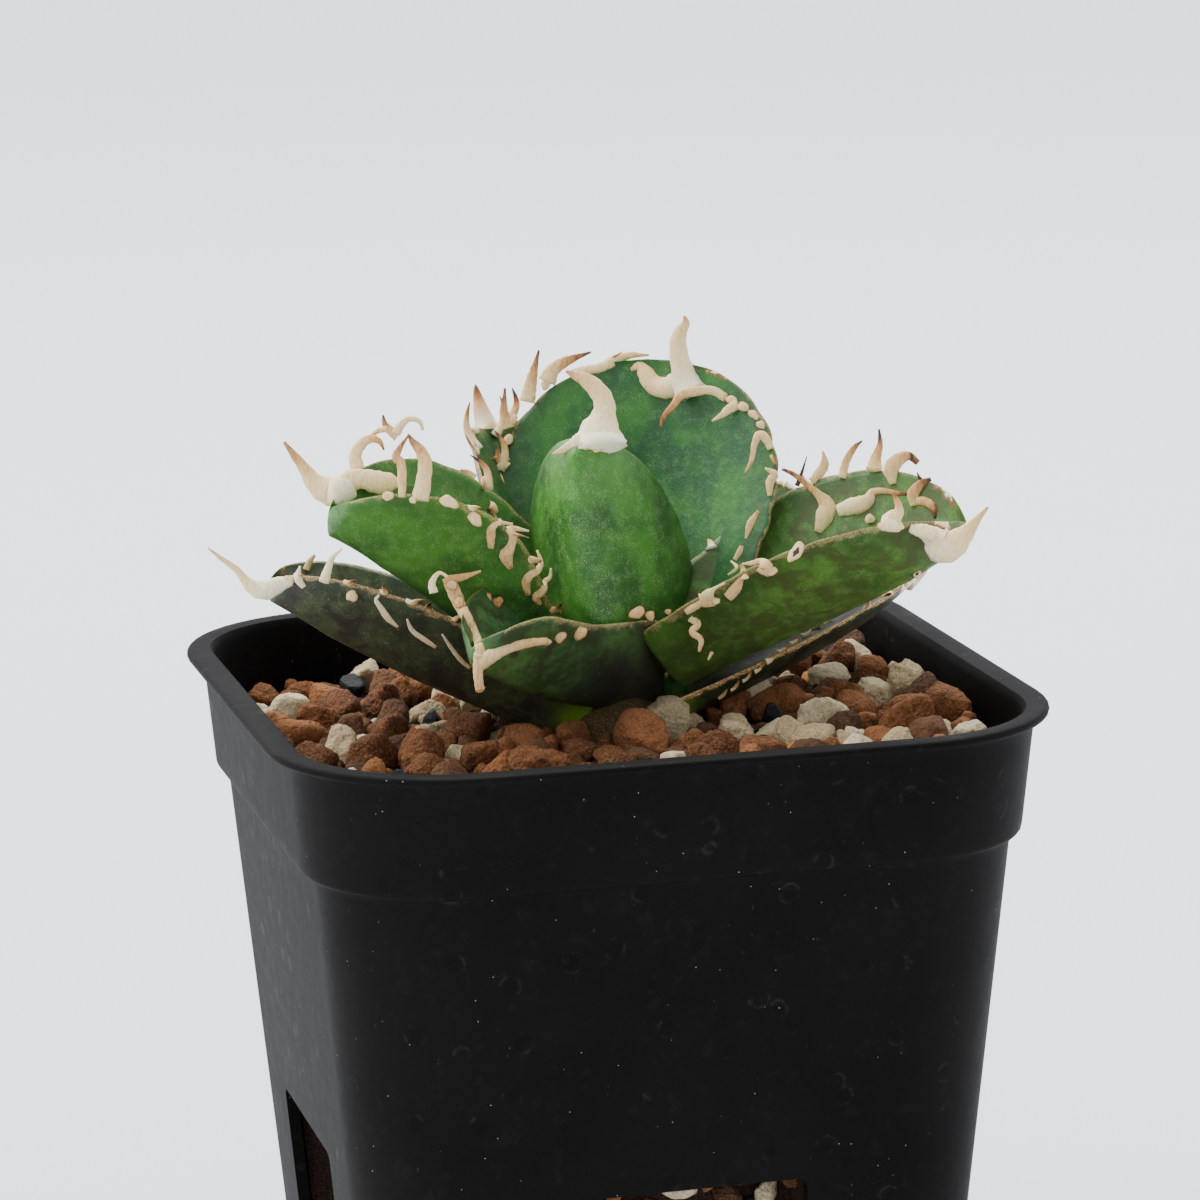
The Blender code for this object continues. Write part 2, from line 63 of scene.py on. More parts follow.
cam_data = bpy.data.cameras.new("camera")
cam_data.lens = FOCAL / 1200 * 36
cam_data.sensor_width = 36
cam_data.clip_start = 0.01
cam_data.clip_end = 30
camera = bpy.data.objects.new("camera", cam_data)
camera.matrix_world = Matrix(
    [[R[i], U[i], BACK[i], CAM[i] * MM] for i in range(3)] + [[0, 0, 0, 1]]
)
bpy.context.scene.collection.objects.link(camera)
bpy.context.scene.camera = camera


def project(points):
    """Places in the frame, in 1200ths from its top left corner, and depths in mm."""
    d = np.atleast_2d(points) - CAM
    z = d @ F
    return np.c_[600 + FOCAL * (d @ R) / z, 600 - FOCAL * (d @ U) / z], z


def seen_at(u, v, depth):
    return CAM + (F + R * (u - 600) / FOCAL - U * (v - 600) / FOCAL) * depth


# ------------------------------------------------------------ node materials
def srgb(r, g, b):
    def lin(c):
        c /= 255
        return c / 12.92 if c <= 0.04045 else ((c + 0.055) / 1.055) ** 2.4

    return (lin(r), lin(g), lin(b), 1.0)


class Nodes:
    def __init__(self, name):
        self.mat = bpy.data.materials.new(name)
        self.mat.use_nodes = True
        self.tree = self.mat.node_tree
        self.shader = self.tree.nodes["Principled BSDF"]
        coord = self.tree.nodes.new("ShaderNodeTexCoord")
        scale = self.tree.nodes.new("ShaderNodeMapping")
        scale.inputs["Scale"].default_value = (1000, 1000, 1000)
        self.link(coord.outputs["Object"], scale.inputs["Vector"])
        self.mm = scale.outputs["Vector"]

    def link(self, a, b):
        self.tree.links.new(a, b)

    def put(self, socket, value):
        if hasattr(value, "is_linked") or isinstance(value, bpy.types.NodeSocket):
            self.link(value, socket)
        else:
            socket.default_value = value

    def noise(self, scale, detail=3.0, rough=0.55, distort=0.0, vector=None):
        n = self.tree.nodes.new("ShaderNodeTexNoise")
        n.inputs["Scale"].default_value = scale
        n.inputs["Detail"].default_value = detail
        n.inputs["Roughness"].default_value = rough
        n.inputs["Distortion"].default_value = distort
        self.link(vector or self.mm, n.inputs["Vector"])
        return n.outputs["Fac"]

    def cells(self, scale, feature="F1", vector=None, out="Distance"):
        n = self.tree.nodes.new("ShaderNodeTexVoronoi")
        n.feature = feature
        n.inputs["Scale"].default_value = scale
        self.link(vector or self.mm, n.inputs["Vector"])
        return n.outputs[out]

    def stretch(self, x, y, z):
        n = self.tree.nodes.new("ShaderNodeMapping")
        n.inputs["Scale"].default_value = (x, y, z)
        self.link(self.mm, n.inputs["Vector"])
        return n.outputs["Vector"]

    def ramp(self, value, low, high, smooth=True):
        """0 below low, 1 above high."""
        n = self.tree.nodes.new("ShaderNodeMapRange")
        n.interpolation_type = "SMOOTHSTEP" if smooth else "LINEAR"
        n.clamp = True
        n.inputs["From Min"].default_value = low
        n.inputs["From Max"].default_value = high
        self.link(value, n.inputs["Value"])
        return n.outputs["Result"]

    def maths(self, op, a, b=0.0):
        n = self.tree.nodes.new("ShaderNodeMath")
        n.operation = op
        self.put(n.inputs[0], a)
        self.put(n.inputs[1], b)
        return n.outputs[0]

    def mix(self, fac, a, b):
        n = self.tree.nodes.new("ShaderNodeMix")
        n.data_type = "RGBA"
        self.put(n.inputs["Factor"], fac)
        self.put(n.inputs[6], a)
        self.put(n.inputs[7], b)
        return n.outputs[2]

    def colours(self, value, stops):
        n = self.tree.nodes.new("ShaderNodeValToRGB")
        ramp = n.color_ramp
        while len(ramp.elements) < len(stops):
            ramp.elements.new(0.5)
        for e, (pos, col) in zip(ramp.elements, stops):
            e.position = pos
            e.color = col
        self.link(value, n.inputs["Fac"])
        return n.outputs["Color"]

    def tone(self, layer="tone"):
        n = self.tree.nodes.new("ShaderNodeVertexColor")
        n.layer_name = layer
        s = self.tree.nodes.new("ShaderNodeSeparateColor")
        self.link(n.outputs["Color"], s.inputs["Color"])
        return s.outputs["Red"], s.outputs["Green"], s.outputs["Blue"]

    def height(self):
        n = self.tree.nodes.new("ShaderNodeSeparateXYZ")
        self.link(self.mm, n.inputs["Vector"])
        return n.outputs

    def normal_z(self):
        g = self.tree.nodes.new("ShaderNodeNewGeometry")
        s = self.tree.nodes.new("ShaderNodeSeparateXYZ")
        self.link(g.outputs["Normal"], s.inputs["Vector"])
        return s.outputs["Z"]

    def bump(self, height, strength=0.5, distance=0.0001, after=None):
        n = self.tree.nodes.new("ShaderNodeBump")
        n.inputs["Strength"].default_value = strength
        n.inputs["Distance"].default_value = distance
        self.link(height, n.inputs["Height"])
        if after:
            self.link(after, n.inputs["Normal"])
        return n.outputs["Normal"]

    def finish(self, colour, rough, normal=None, specular=0.5, coat=0.0):
        self.link(colour, self.shader.inputs["Base Color"])
        self.put(self.shader.inputs["Roughness"], rough)
        self.shader.inputs["Specular IOR Level"].default_value = specular
        self.shader.inputs["Coat Weight"].default_value = coat
        if normal:
            self.link(normal, self.shader.inputs["Normal"])
        return self.mat


IVORY = srgb(255, 245, 210)
BONE = srgb(238, 202, 142)
TAN = srgb(214, 162, 98)
BROWN = srgb(148, 92, 50)
DARK_BROWN = srgb(70, 46, 36)


def horn_material(name="horn", warm=0.0):
    n = Nodes(name)
    along, pick, _ = n.tone()
    streak = n.noise(1.6, 4.0, vector=n.stretch(2.2, 2.2, 0.6))
    fine = n.noise(6.0, 3.0)
    shift = n.maths("ADD", along, n.maths("MULTIPLY", n.maths("SUBTRACT", streak, 0.5), 0.55))
    shift = n.maths("ADD", shift, n.maths("MULTIPLY", n.maths("SUBTRACT", pick, 0.35), 0.50))
    col = n.colours(
        shift,
        [(0.0, IVORY), (0.24, srgb(251, 222, 164)), (0.46, BONE), (0.66, TAN), (0.88, BROWN), (1.0, DARK_BROWN)],
    )
    col = n.mix(n.maths("MULTIPLY", n.ramp(fine, 0.56, 0.70), 0.35), col, BROWN)
    normal = n.bump(streak, 0.6, 0.00022)
    normal = n.bump(fine, 0.5, 0.00006, normal)
    return n.finish(col, n.maths("ADD", 0.42, n.maths("MULTIPLY", fine, 0.25)), normal, 0.4)


def leaf_material(name, deep, mid, light, speck=0.25, dust=0.0, blush=None, cap=0.93, yellow=0.0, dry_line=0.9, foot=None):
    n = Nodes(name)
    t, spine, edge = n.tone()
    broad = n.noise(0.16, 3.0, 0.5, 0.6)
    middle = n.noise(0.9, 4.0, 0.6)
    fine = n.noise(7.0, 2.0, 0.6)
    dots = n.cells(3.6)
    base = n.mix(n.ramp(broad, 0.36, 0.64), deep, mid)
    base = n.mix(n.maths("MULTIPLY", n.ramp(middle, 0.45, 0.75), 0.40), base, light)
    # fine pale bloom, thicker in patches
    bloom = n.maths("MULTIPLY", n.ramp(fine, 0.50, 0.66), n.ramp(middle, 0.30, 0.62))
    base = n.mix(n.maths("MULTIPLY", bloom, speck), base, srgb(150, 172, 138))
    pit = n.maths("SUBTRACT", 1.0, n.ramp(dots, 0.05, 0.16))
    base = n.mix(n.maths("MULTIPLY", pit, 0.28), base, srgb(24, 44, 22))
    if blush:
        patch = n.ramp(n.noise(0.30, 4.0, 0.62, 0.8), 0.44, 0.60)
        base = n.mix(n.maths("MULTIPLY", patch, 0.85), base, blush)
    if dust:
        grit = n.ramp(n.noise(2.6, 5.0, 0.72), 0.63, 0.70)
        base = n.mix(n.maths("MULTIPLY", grit, dust), base, srgb(168, 164, 150))
        scratch = n.ramp(n.noise(1.2, 5.0, 0.7, vector=n.stretch(0.5, 3.0, 3.0)), 0.66, 0.70)
        base = n.mix(n.maths("MULTIPLY", scratch, dust), base, srgb(196, 190, 174))
    # an old, sun-darkened foot with pale scuffs
    if foot:
        low = n.maths("SUBTRACT", 1.0, n.ramp(n.maths("ADD", t, n.maths("MULTIPLY", n.maths("SUBTRACT", broad, 0.5), 0.5)), 0.30, 0.60))
        base = n.mix(n.maths("MULTIPLY", low, 0.9), base, foot)
        scuff = n.ramp(n.noise(1.5, 5.0, 0.75, 0.6), 0.63, 0.69)
        base = n.mix(n.maths("MULTIPLY", n.maths("MULTIPLY", scuff, low), 0.6), base, srgb(176, 168, 150))
    # bright young tissue at the foot of the leaf
    if yellow:
        foot = n.maths("SUBTRACT", 1.0, n.ramp(n.maths("ADD", t, n.maths("MULTIPLY", middle, 0.10)), 0.06, yellow + 0.05))
        base = n.mix(foot, base, srgb(118, 158, 40))
    # darker rim and the dry brown line at the margin
    base = n.mix(n.maths("MULTIPLY", n.ramp(edge, 0.72, 0.98), 0.35), base, srgb(30, 52, 24))
    dry = n.ramp(n.maths("ADD", edge, n.maths("MULTIPLY", n.maths("SUBTRACT", middle, 0.5), 0.10)), 0.972, 0.992)
    base = n.mix(n.maths("MULTIPLY", dry, dry_line), base, n.mix(n.ramp(fine, 0.4, 0.6), BONE, BROWN))
    # horny cap at the tip and the spine
    ragged = n.maths("ADD", t, n.maths("MULTIPLY", n.maths("SUBTRACT", middle, 0.5), 0.14))
    ragged = n.maths("ADD", ragged, n.maths("MULTIPLY", n.ramp(edge, 0.5, 1.0), 0.05))
    rimline = n.maths("MULTIPLY", n.ramp(ragged, cap - 0.02, cap), n.maths("SUBTRACT", 1.0, n.ramp(ragged, cap, cap + 0.02)))
    horn = n.colours(
        n.maths("ADD", spine, n.maths("MULTIPLY", n.maths("SUBTRACT", middle, 0.5), 0.5)),
        [(0.0, IVORY), (0.35, srgb(226, 200, 166)), (0.60, TAN), (0.85, BROWN), (1.0, DARK_BROWN)],
    )
    base = n.mix(n.ramp(ragged, cap, cap + 0.012), base, horn)
    base = n.mix(n.maths("MULTIPLY", rimline, 0.8), base, BROWN)
    normal = n.bump(middle, 0.25, 0.00030)
    normal = n.bump(fine, 0.35, 0.00006, normal)
    rough = n.maths("ADD", 0.36, n.maths("MULTIPLY", fine, 0.22))
    n.shader.inputs["Subsurface Weight"].default_value = 0.06
    n.shader.inputs["Subsurface Radius"].default_value = (0.0006, 0.0012, 0.0003)
    n.shader.inputs["Subsurface Scale"].default_value = 1.0
    return n.finish(base, rough, normal, 0.42)


def plastic_material():
    n = Nodes("black_plastic")
    broad = n.noise(0.05, 3.0)
    grain = n.noise(9.0, 2.0, 0.7)
    haze = n.noise(0.55, 5.0, 0.65, 0.5)
    base = n.mix(n.ramp(broad, 0.3, 0.7), srgb(13, 12, 11), srgb(17, 16, 15))
    # dried water marks: soft rings and blots, some darker, some chalky
    spots = n.cells(0.20, out="Distance")
    blot = n.maths("SUBTRACT", 1.0, n.ramp(n.maths("ADD", spots, n.maths("MULTIPLY", haze, 0.25)), 0.24, 0.30))
    base = n.mix(n.maths("MULTIPLY", blot, 0.45), base, srgb(7, 7, 8))
    ring = n.maths("MULTIPLY", n.ramp(spots, 0.16, 0.20), n.maths("SUBTRACT", 1.0, n.ramp(spots, 0.20, 0.25)))
    base = n.mix(n.maths("MULTIPLY", ring, n.maths("MULTIPLY", n.ramp(haze, 0.5, 0.62), 0.22)), base, srgb(60, 58, 55))
    base = n.mix(n.maths("MULTIPLY", n.ramp(haze, 0.52, 0.75), 0.12), base, srgb(50, 49, 48))
    # dust specks and hair scratches
    dust = n.maths("SUBTRACT", 1.0, n.ramp(n.cells(0.85), 0.030, 0.055))
    pick = n.ramp(n.noise(0.35, 2.0), 0.50, 0.56)
    base = n.mix(n.maths("MULTIPLY", dust, n.maths("MULTIPLY", pick, 0.75)), base, srgb(176, 172, 164))
    hair = n.ramp(n.noise(0.8, 4.0, 0.75, 1.4, n.stretch(2.6, 2.6, 0.35)), 0.705, 0.73)
    base = n.mix(n.maths("MULTIPLY", hair, 0.30), base, srgb(120, 118, 114))
    rough = n.maths("ADD", 0.50, n.maths("MULTIPLY", haze, 0.18))
    rough = n.maths("ADD", rough, n.maths("MULTIPLY", blot, -0.06))
    normal = n.bump(grain, 0.25, 0.00003)
    normal = n.bump(broad, 0.15, 0.0006, normal)
    return n.finish(base, rough, normal, 0.04)


def mineral_material(name, dark, mid, light, pore=0.6, rough=0.92, stain=None, speckle=None):
    n = Nodes(name)
    pick, hollow, _ = n.tone()
    coarse = n.noise(0.9, 5.0, 0.62)
    fine = n.noise(5.5, 4.0, 0.7)
    pores = n.cells(2.4)
    base = n.mix(n.ramp(n.maths("ADD", n.maths("MULTIPLY", coarse, 0.6), n.maths("MULTIPLY", pick, 0.4)), 0.30, 0.68), dark, mid)
    base = n.mix(n.maths("MULTIPLY", n.ramp(fine, 0.46, 0.70), 0.55), base, light)
    if stain:
        base = n.mix(n.maths("MULTIPLY", n.ramp(coarse, 0.56, 0.72), 0.7), base, stain)
    if speckle:
        base = n.mix(n.maths("MULTIPLY", n.ramp(n.noise(3.2, 3.0, 0.7), 0.62, 0.66), 0.8), base, speckle)
    # painted shade: the pore centres, bumped in as dents below, are darkened towards the dark colour
    pore_shade = n.maths("SUBTRACT", 1.0, n.ramp(pores, 0.10, 0.32))
    base = n.mix(n.maths("MULTIPLY", pore_shade, pore * 0.5), base, dark)
    normal = n.bump(coarse, 0.7, 0.0007)
    normal = n.bump(pores, pore, 0.00035, normal)
    normal = n.bump(fine, 0.8, 0.00022, normal)
    return n.finish(base, rough, normal, 0.25)


HORN = horn_material()
LEAF = {
    "heart": leaf_material("leaf_heart_skin", srgb(40, 90, 26), srgb(64, 126, 32), srgb(96, 150, 48), 0.50, cap=2.0, dry_line=0.0),
    "back": leaf_material("leaf_back_skin", srgb(30, 82, 42), srgb(48, 112, 36), srgb(78, 134, 54), 0.22, cap=1.03, dry_line=0.35),
    "left_up": leaf_material("leaf_left_up_skin", srgb(46, 94, 30), srgb(70, 126, 38), srgb(104, 154, 54), 0.38, cap=1.08, dry_line=0.35),
    "right_up": leaf_material("leaf_right_up_skin", srgb(58, 98, 34), srgb(84, 132, 44), srgb(118, 154, 60), 0.36, cap=1.03, dry_line=0.35, blush=srgb(72, 84, 40)),
    "front": leaf_material("leaf_front_skin", srgb(52, 92, 48), srgb(76, 118, 56), srgb(108, 144, 78), 0.30, dust=0.30, blush=srgb(56, 66, 42), cap=1.09, dry_line=0.35, foot=srgb(46, 40, 40)),
    "low_left": leaf_material("leaf_low_left_skin", srgb(50, 56, 42), srgb(70, 78, 50), srgb(102, 104, 72), 0.28, dust=0.60, blush=srgb(54, 46, 44), cap=1.04, dry_line=0.50, yellow=0.13),
    "low_right": leaf_material("leaf_low_right_skin", srgb(44, 50, 34), srgb(66, 72, 44), srgb(96, 100, 62), 0.22, dust=0.50, blush=srgb(42, 32, 34), cap=0.93, yellow=0.12),
    "other": leaf_material("leaf_green_skin", srgb(36, 80, 36), srgb(54, 108, 44), srgb(84, 136, 60), 0.30, cap=1.02),
}
PLASTIC = plastic_material()
AKADAMA = mineral_material("akadama", srgb(84, 50, 28), srgb(140, 90, 54), srgb(180, 126, 84), 0.7)
AKADAMA_DARK = mineral_material("akadama_dark", srgb(58, 38, 26), srgb(104, 70, 46), srgb(142, 102, 70), 0.7)
PUMICE = mineral_material("pumice", srgb(172, 150, 112), srgb(218, 200, 162), srgb(240, 228, 200), 0.5, stain=srgb(206, 176, 122), speckle=srgb(120, 92, 62))
ORANGE = mineral_material("orange_pebble", srgb(160, 92, 34), srgb(206, 132, 58), srgb(232, 170, 96), 0.15, 0.5)
CHARCOAL = mineral_material("charcoal_chip", srgb(16, 16, 18), srgb(30, 31, 35), srgb(58, 60, 66), 0.3, 0.45)
BEDDING = mineral_material("bedding", srgb(34, 22, 17), srgb(66, 42, 30), srgb(96, 66, 48), 0.8)
ROOT = mineral_material("stem_bark", srgb(70, 56, 34), srgb(112, 94, 56), srgb(148, 128, 84), 0.3)


# ------------------------------------------------------------------- meshes
def add_mesh(name, verts, faces, mat, tone=None, smooth=True, slot=None):
    """A piece from points in millimetres. tone is one (r, g, b) for each point."""
    mesh = bpy.data.meshes.new(name)
    verts = np.asarray(verts, float)
    mesh.from_pydata((verts * MM).tolist(), [], faces)
    if tone is not None:
        layer = mesh.color_attributes.new("tone", "FLOAT_COLOR", "POINT")
        full = np.ones((len(verts), 4))
        full[:, :3] = np.asarray(tone, float)
        layer.data.foreach_set("color", full.ravel())
    mesh.materials.append(mat)
    if smooth:
        mesh.shade_smooth()
    mesh.update()
    obj = bpy.data.objects.new(name, mesh)
    bpy.context.scene.collection.objects.link(obj)
    return obj


def outward(obj):
    bm = bmesh.new()
    bm.from_mesh(obj.data)
    bmesh.ops.recalc_face_normals(bm, faces=bm.faces)
    bm.to_mesh(obj.data)
    bm.free()
    return obj


def ring_faces(rings, count, cap_first=True, cap_last=True):
    faces = []
    for j in range(rings - 1):
        for i in range(count):
            k = (i + 1) % count
            faces.append((j * count + i, j * count + k, (j + 1) * count + k, (j + 1) * count + i))
    if cap_first:
        faces.append(tuple(reversed(range(count))))
    if cap_last:
        faces.append(tuple((rings - 1) * count + i for i in range(count)))
    return faces


class Batch:
    """Many small closed shapes gathered into one piece."""

    def __init__(self):
        self.verts, self.faces, self.tone, self.count = [], [], [], 0

    def add(self, verts, faces, tone):
        self.verts.append(np.asarray(verts, float))
        self.tone.append(np.asarray(tone, float))
        self.faces += [tuple(i + self.count for i in f) for f in faces]
        self.count += len(verts)

    def make(self, name, mat):
        if not self.verts:
            return None
        obj = add_mesh(name, np.concatenate(self.verts), self.faces, mat, np.concatenate(self.tone))
        return outward(obj)


# ------------------------------------------------------------------- leaves
LEAVES = {
    "bud": dict(az=60, i0=84, i1=88, span=16, wide=5.0, fold=(60, 60), spine=4.0, lift=10, foot=(0.0, -2.0), thick=3.6, base=0.8, widest=0.35, at=(2.6, 2.6)),
    "heart": dict(az=200, i0=77, i1=84, span=23.5, wide=11.6, fold=(42, 50), roll=(-45, -45), spine=0, foot=(0.0, 0.0), thick=4.0, base=0.50, widest=0.36, thin=0.25, at=(0.0, -3.2)),
    "back": dict(az=54, i0=68, i1=80, span=30.5, wide=15.5, fold=(28, 12), spine=0, foot=(4.0, -1.0), widest=0.6),
    "left_up": dict(az=178, i0=54, i1=22, span=31.2, wide=10.6, fold=(62, 56), roll=(-3, 14), spine=0, foot=(4.0, -2.8), widest=0.66, near=(0.45, 0.25, 0.22)),
    "right_up": dict(az=-28, i0=24, i1=24, span=32, wide=11.5, fold=(50, 45), roll=(-14, -14), spine=0, foot=(5.0, 1.5)),
    "back_left": dict(az=118, i0=60, i1=58, span=28, wide=10, fold=(35, 30), spine=5.0, lift=20, foot=(4.0, -2.0)),
    "front": dict(az=214, i0=12, i1=20, span=27.5, wide=10.6, fold=(50, 50), spine=0, foot=(-4.5, -2.6), thick=2.5, base=0.76, at=(2.3, 0.0), near=(0.30, 0.64, 0.27)),
    "back_right": dict(az=30, i0=32, i1=30, span=30, wide=9, fold=(40, 35), spine=5.0, lift=30, foot=(4.0, -3.0)),
    "low_left": dict(az=172, i0=24, i1=27, span=33, wide=8.0, fold=(45, 45), spine=0, foot=(4.0, -5.0), thick=2.5),
    "low_right": dict(az=15, i0=14, i1=22, span=31, wide=8.0, fold=(20, 20), spine=4.5, lift=20, foot=(4.0, -4.2), thick=2.2),
    "low_back": dict(az=85, i0=24, i1=24, span=31, wide=9, fold=(35, 30), spine=5.0, lift=20, foot=(4.0, -5.0), thick=2.6),
    "low_back_left": dict(az=137, i0=26, i1=18, span=26, wide=8.5, fold=(35, 30), spine=4.5, lift=20, foot=(4.0, -4.5), thick=2.6),
}
DEFAULTS = dict(roll=(0, 0), near=(0.0, 0.5, 1.0), thin=1.0, thick=3.0, base=0.6, widest=0.58, side=0, lift=0, at=(1.5, 0.0))
STATIONS, ACROSS, SPINE_RINGS = 72, 33, 14
MARGIN = 0.45


def lerp(pair, t):
    return pair[0] + (pair[1] - pair[0]) * t


def leaf_axes(leaf, t):
    az = math.radians(leaf["az"])
    i = math.radians(leaf["i0"] + (leaf["i1"] - leaf["i0"]) * t)
    along = np.array([math.cos(i) * math.cos(az), math.cos(i) * math.sin(az), math.sin(i)])
    up = np.array([-math.sin(i) * math.cos(az), -math.sin(i) * math.sin(az), math.cos(i)])
    side = np.cross(up, along)
    r = math.radians(lerp(leaf["roll"], t))
    return along, up * math.cos(r) + side * math.sin(r), side * math.cos(r) - up * math.sin(r)


def leaf_middle(leaf, t):
    az = math.radians(leaf["az"])
    r0, z0 = leaf["foot"]
    x0, y0 = leaf["at"]
    p = np.array([x0 + r0 * math.cos(az), y0 + r0 * math.sin(az), RIM + z0])
    steps = 40
    for k in range(steps):
        p = p + leaf_axes(leaf, t * (k + 0.5) / steps)[0] * leaf["span"] * t / steps
    return p


def leaf_width(leaf, t):
    base, widest = leaf["base"], leaf["widest"]
    if t < widest:
        part = base + (1 - base) * math.sin(t / widest * math.pi / 2) ** 1.2
    else:
        part = math.sqrt(max(0.0, 1 - ((t - widest) / (1.045 - widest)) ** 2))
    return leaf["wide"] * part


def near_half(leaf, t, s):
    """How much of its width the half towards the viewer keeps: it dips near the foot."""
    depth, middle, reach = leaf["near"]
    return 1 - depth * math.exp(-(((t - middle) / reach) ** 2)) if s > 0 else 1.0


def leaf_thick(leaf, t):
    """Thickness of the blade; a leaf deep in the rosette is thin where it is held."""
    foot = leaf["thin"] + (1 - leaf["thin"]) * math.sin(min(1.0, t / 0.34) * math.pi / 2)
    return leaf["thick"] * foot * (1 - 0.55 * t) * (1 if t < 0.8 else max(0.35, 1 - (t - 0.8) * 2.6))


def leaf_point(leaf, t, s, under=False, wave=0.0):
    along, up, side = leaf_axes(leaf, t)
    p = leaf_middle(leaf, t)
    wide = leaf_width(leaf, t) * (1 + wave) * near_half(leaf, t, s)
    fold = math.radians(lerp(leaf["fold"], t))
    thick = leaf_thick(leaf, t)
    norm = math.sqrt(1.05) - math.sqrt(0.05)
    rise = (math.sqrt(s * s + 0.05) - math.sqrt(0.05)) / norm
    q = p + side * (wide * s * math.cos(fold)) + up * (wide * rise * math.sin(fold))
    if under:
        q = q - up * (thick * math.sqrt(max(0.0, 1 - abs(s) ** 2.2)) + MARGIN)
    return q


CRENATE = {"back": (9, 0.022), "left_up": (8, 0.016), "right_up": (8, 0.018), "front": (6, 0.012), "low_left": (8, 0.010), "low_right": (9, 0.010)}
leaf_mesh = {}
leaf_tree = {}


def build_leaf(name, leaf, mat):
    leaf = {**DEFAULTS, **leaf}
    waves, depth = CRENATE.get(name, (7, 0.012))
    rings, tone = [], []
    for j in range(STATIONS):
        t = j / (STATIONS - 1)
        along, up, side = leaf_axes(leaf, t)
        p = leaf_middle(leaf, t)
        fold = math.radians(lerp(leaf["fold"], t))
        thick = leaf_thick(leaf, t)
        norm = math.sqrt(1.05) - math.sqrt(0.05)
        top, under, ttop, tunder = [], [], [], []
        for k in range(ACROSS):
            s = -1 + 2 * k / (ACROSS - 1)
            s = math.copysign(abs(s) ** 0.85, s)
            # the margin bulges between its teeth
            w = leaf_width(leaf, t) * near_half(leaf, t, s) * (1 + depth * (abs(math.sin(math.pi * waves * t + (1.1 if s > 0 else 0.3))) - 0.6) * abs(s) ** 4)
            rise = (math.sqrt(s * s + 0.05) - math.sqrt(0.05)) / norm
            q = p + side * (w * s * math.cos(fold)) + up * (w * rise * math.sin(fold))
            q = q + up * (0.10 * math.sin(9 * t + 3 * s) * (1 - s * s))
            body = thick * math.sqrt(max(0.0, 1 - abs(s) ** 2.2))
            top.append(q)
            under.append(q - up * (body + MARGIN * (0.55 + 0.45 * (1 - abs(s)))))
            ttop.append((t, 0, abs(s)))
            tunder.append((t, 0, min(1.0, abs(s) * 0.995)))
        rings.append(top + under[::-1])
        tone += ttop + tunder[::-1]
    along, up, side = leaf_axes(leaf, 1.0)
    p = leaf_middle(leaf, 1.0)
    start = p - up * 0.5
    if leaf["spine"]:
        lift, lean = math.radians(leaf["lift"]), math.radians(leaf["side"])
        for j in range(SPINE_RINGS):
            u = (j + 1) / SPINE_RINGS
            q = start.copy()
            for k in range(12):
                w = (k + 0.5) / 12 * u
                q = q + (along * math.cos(lift * w) * math.cos(lean * w) + up * math.sin(lift * w) + side * math.sin(lean * w)) * leaf["spine"] * u / 12
            radius = 1.25 * (1 - u) ** 0.75 + 0.10
            ring = []
            for first in (176, -4):
                for k in range(ACROSS):
                    a = math.radians(first - 172 * k / (ACROSS - 1))
                    ring.append(q + side * radius * math.cos(a) + up * radius * math.sin(a) * 0.8)
            rings.append(ring)
            tone += [(1.2, u, 0.5)] * len(ring)
    else:
        # a blunt end, drawn in under the horny cap that sits on it
        for u, shrink in ((0.35, 0.80), (0.70, 0.50), (0.95, 0.18)):
            last = np.array(rings[STATIONS - 1])
            mid = last.mean(axis=0)
            rings.append(list(mid + (last - mid) * shrink + along * u * 1.0))
            tone += [(1.0, 0.0, 0.5)] * (2 * ACROSS)
    count = 2 * ACROSS
    verts = np.array([q for ring in rings for q in ring])
    faces = ring_faces(len(rings), count, False, False)
    for base in (0, (len(rings) - 1) * count):
        for k in range(ACROSS - 1):
            faces.append((base + k, base + k + 1, base + count - 2 - k, base + count - 1 - k))
    obj = outward(add_mesh("leaf_" + name + "_skin", verts, faces, mat, tone))
    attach(obj, "root")
    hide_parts("leaf_" + name)
    leaf_mesh[name] = leaf
    leaf_tree[name] = BVHTree.FromPolygons([tuple(q) for q in verts], faces)
    return obj


for name, leaf in LEAVES.items():
    build_leaf(name, leaf, LEAF.get(name, LEAF["other"]))


# Margins, for setting teeth on them
margin_points = {}
for name, leaf in leaf_mesh.items():
    pts = []
    for j in range(0, 61):
        t = j / 60
        for s in (-1.0, 1.0):
            pts.append(leaf_point(leaf, t, s))
        pts.append(leaf_point(leaf, t, 0.0))
    pts = np.array(pts)
    margin_points[name] = (pts, *project(pts))


def surface_at(name, u, v):
    """Distance to the leaf's own surface at a place in the view, or None beside the leaf."""
    way = seen_at(u, v, 1.0) - CAM
    place, _, _, _ = leaf_tree[name].ray_cast(Vector(CAM), Vector(way).normalized())
    return None if place is None else float((np.array(place) - CAM) @ F)


def depth_at(name, u, v):
    found = surface_at(name, u, v)
    if found is not None:
        return found
    _, uv, depth = margin_points[name]
    return depth[np.argmin((uv[:, 0] - u) ** 2 + (uv[:, 1] - v) ** 2)]


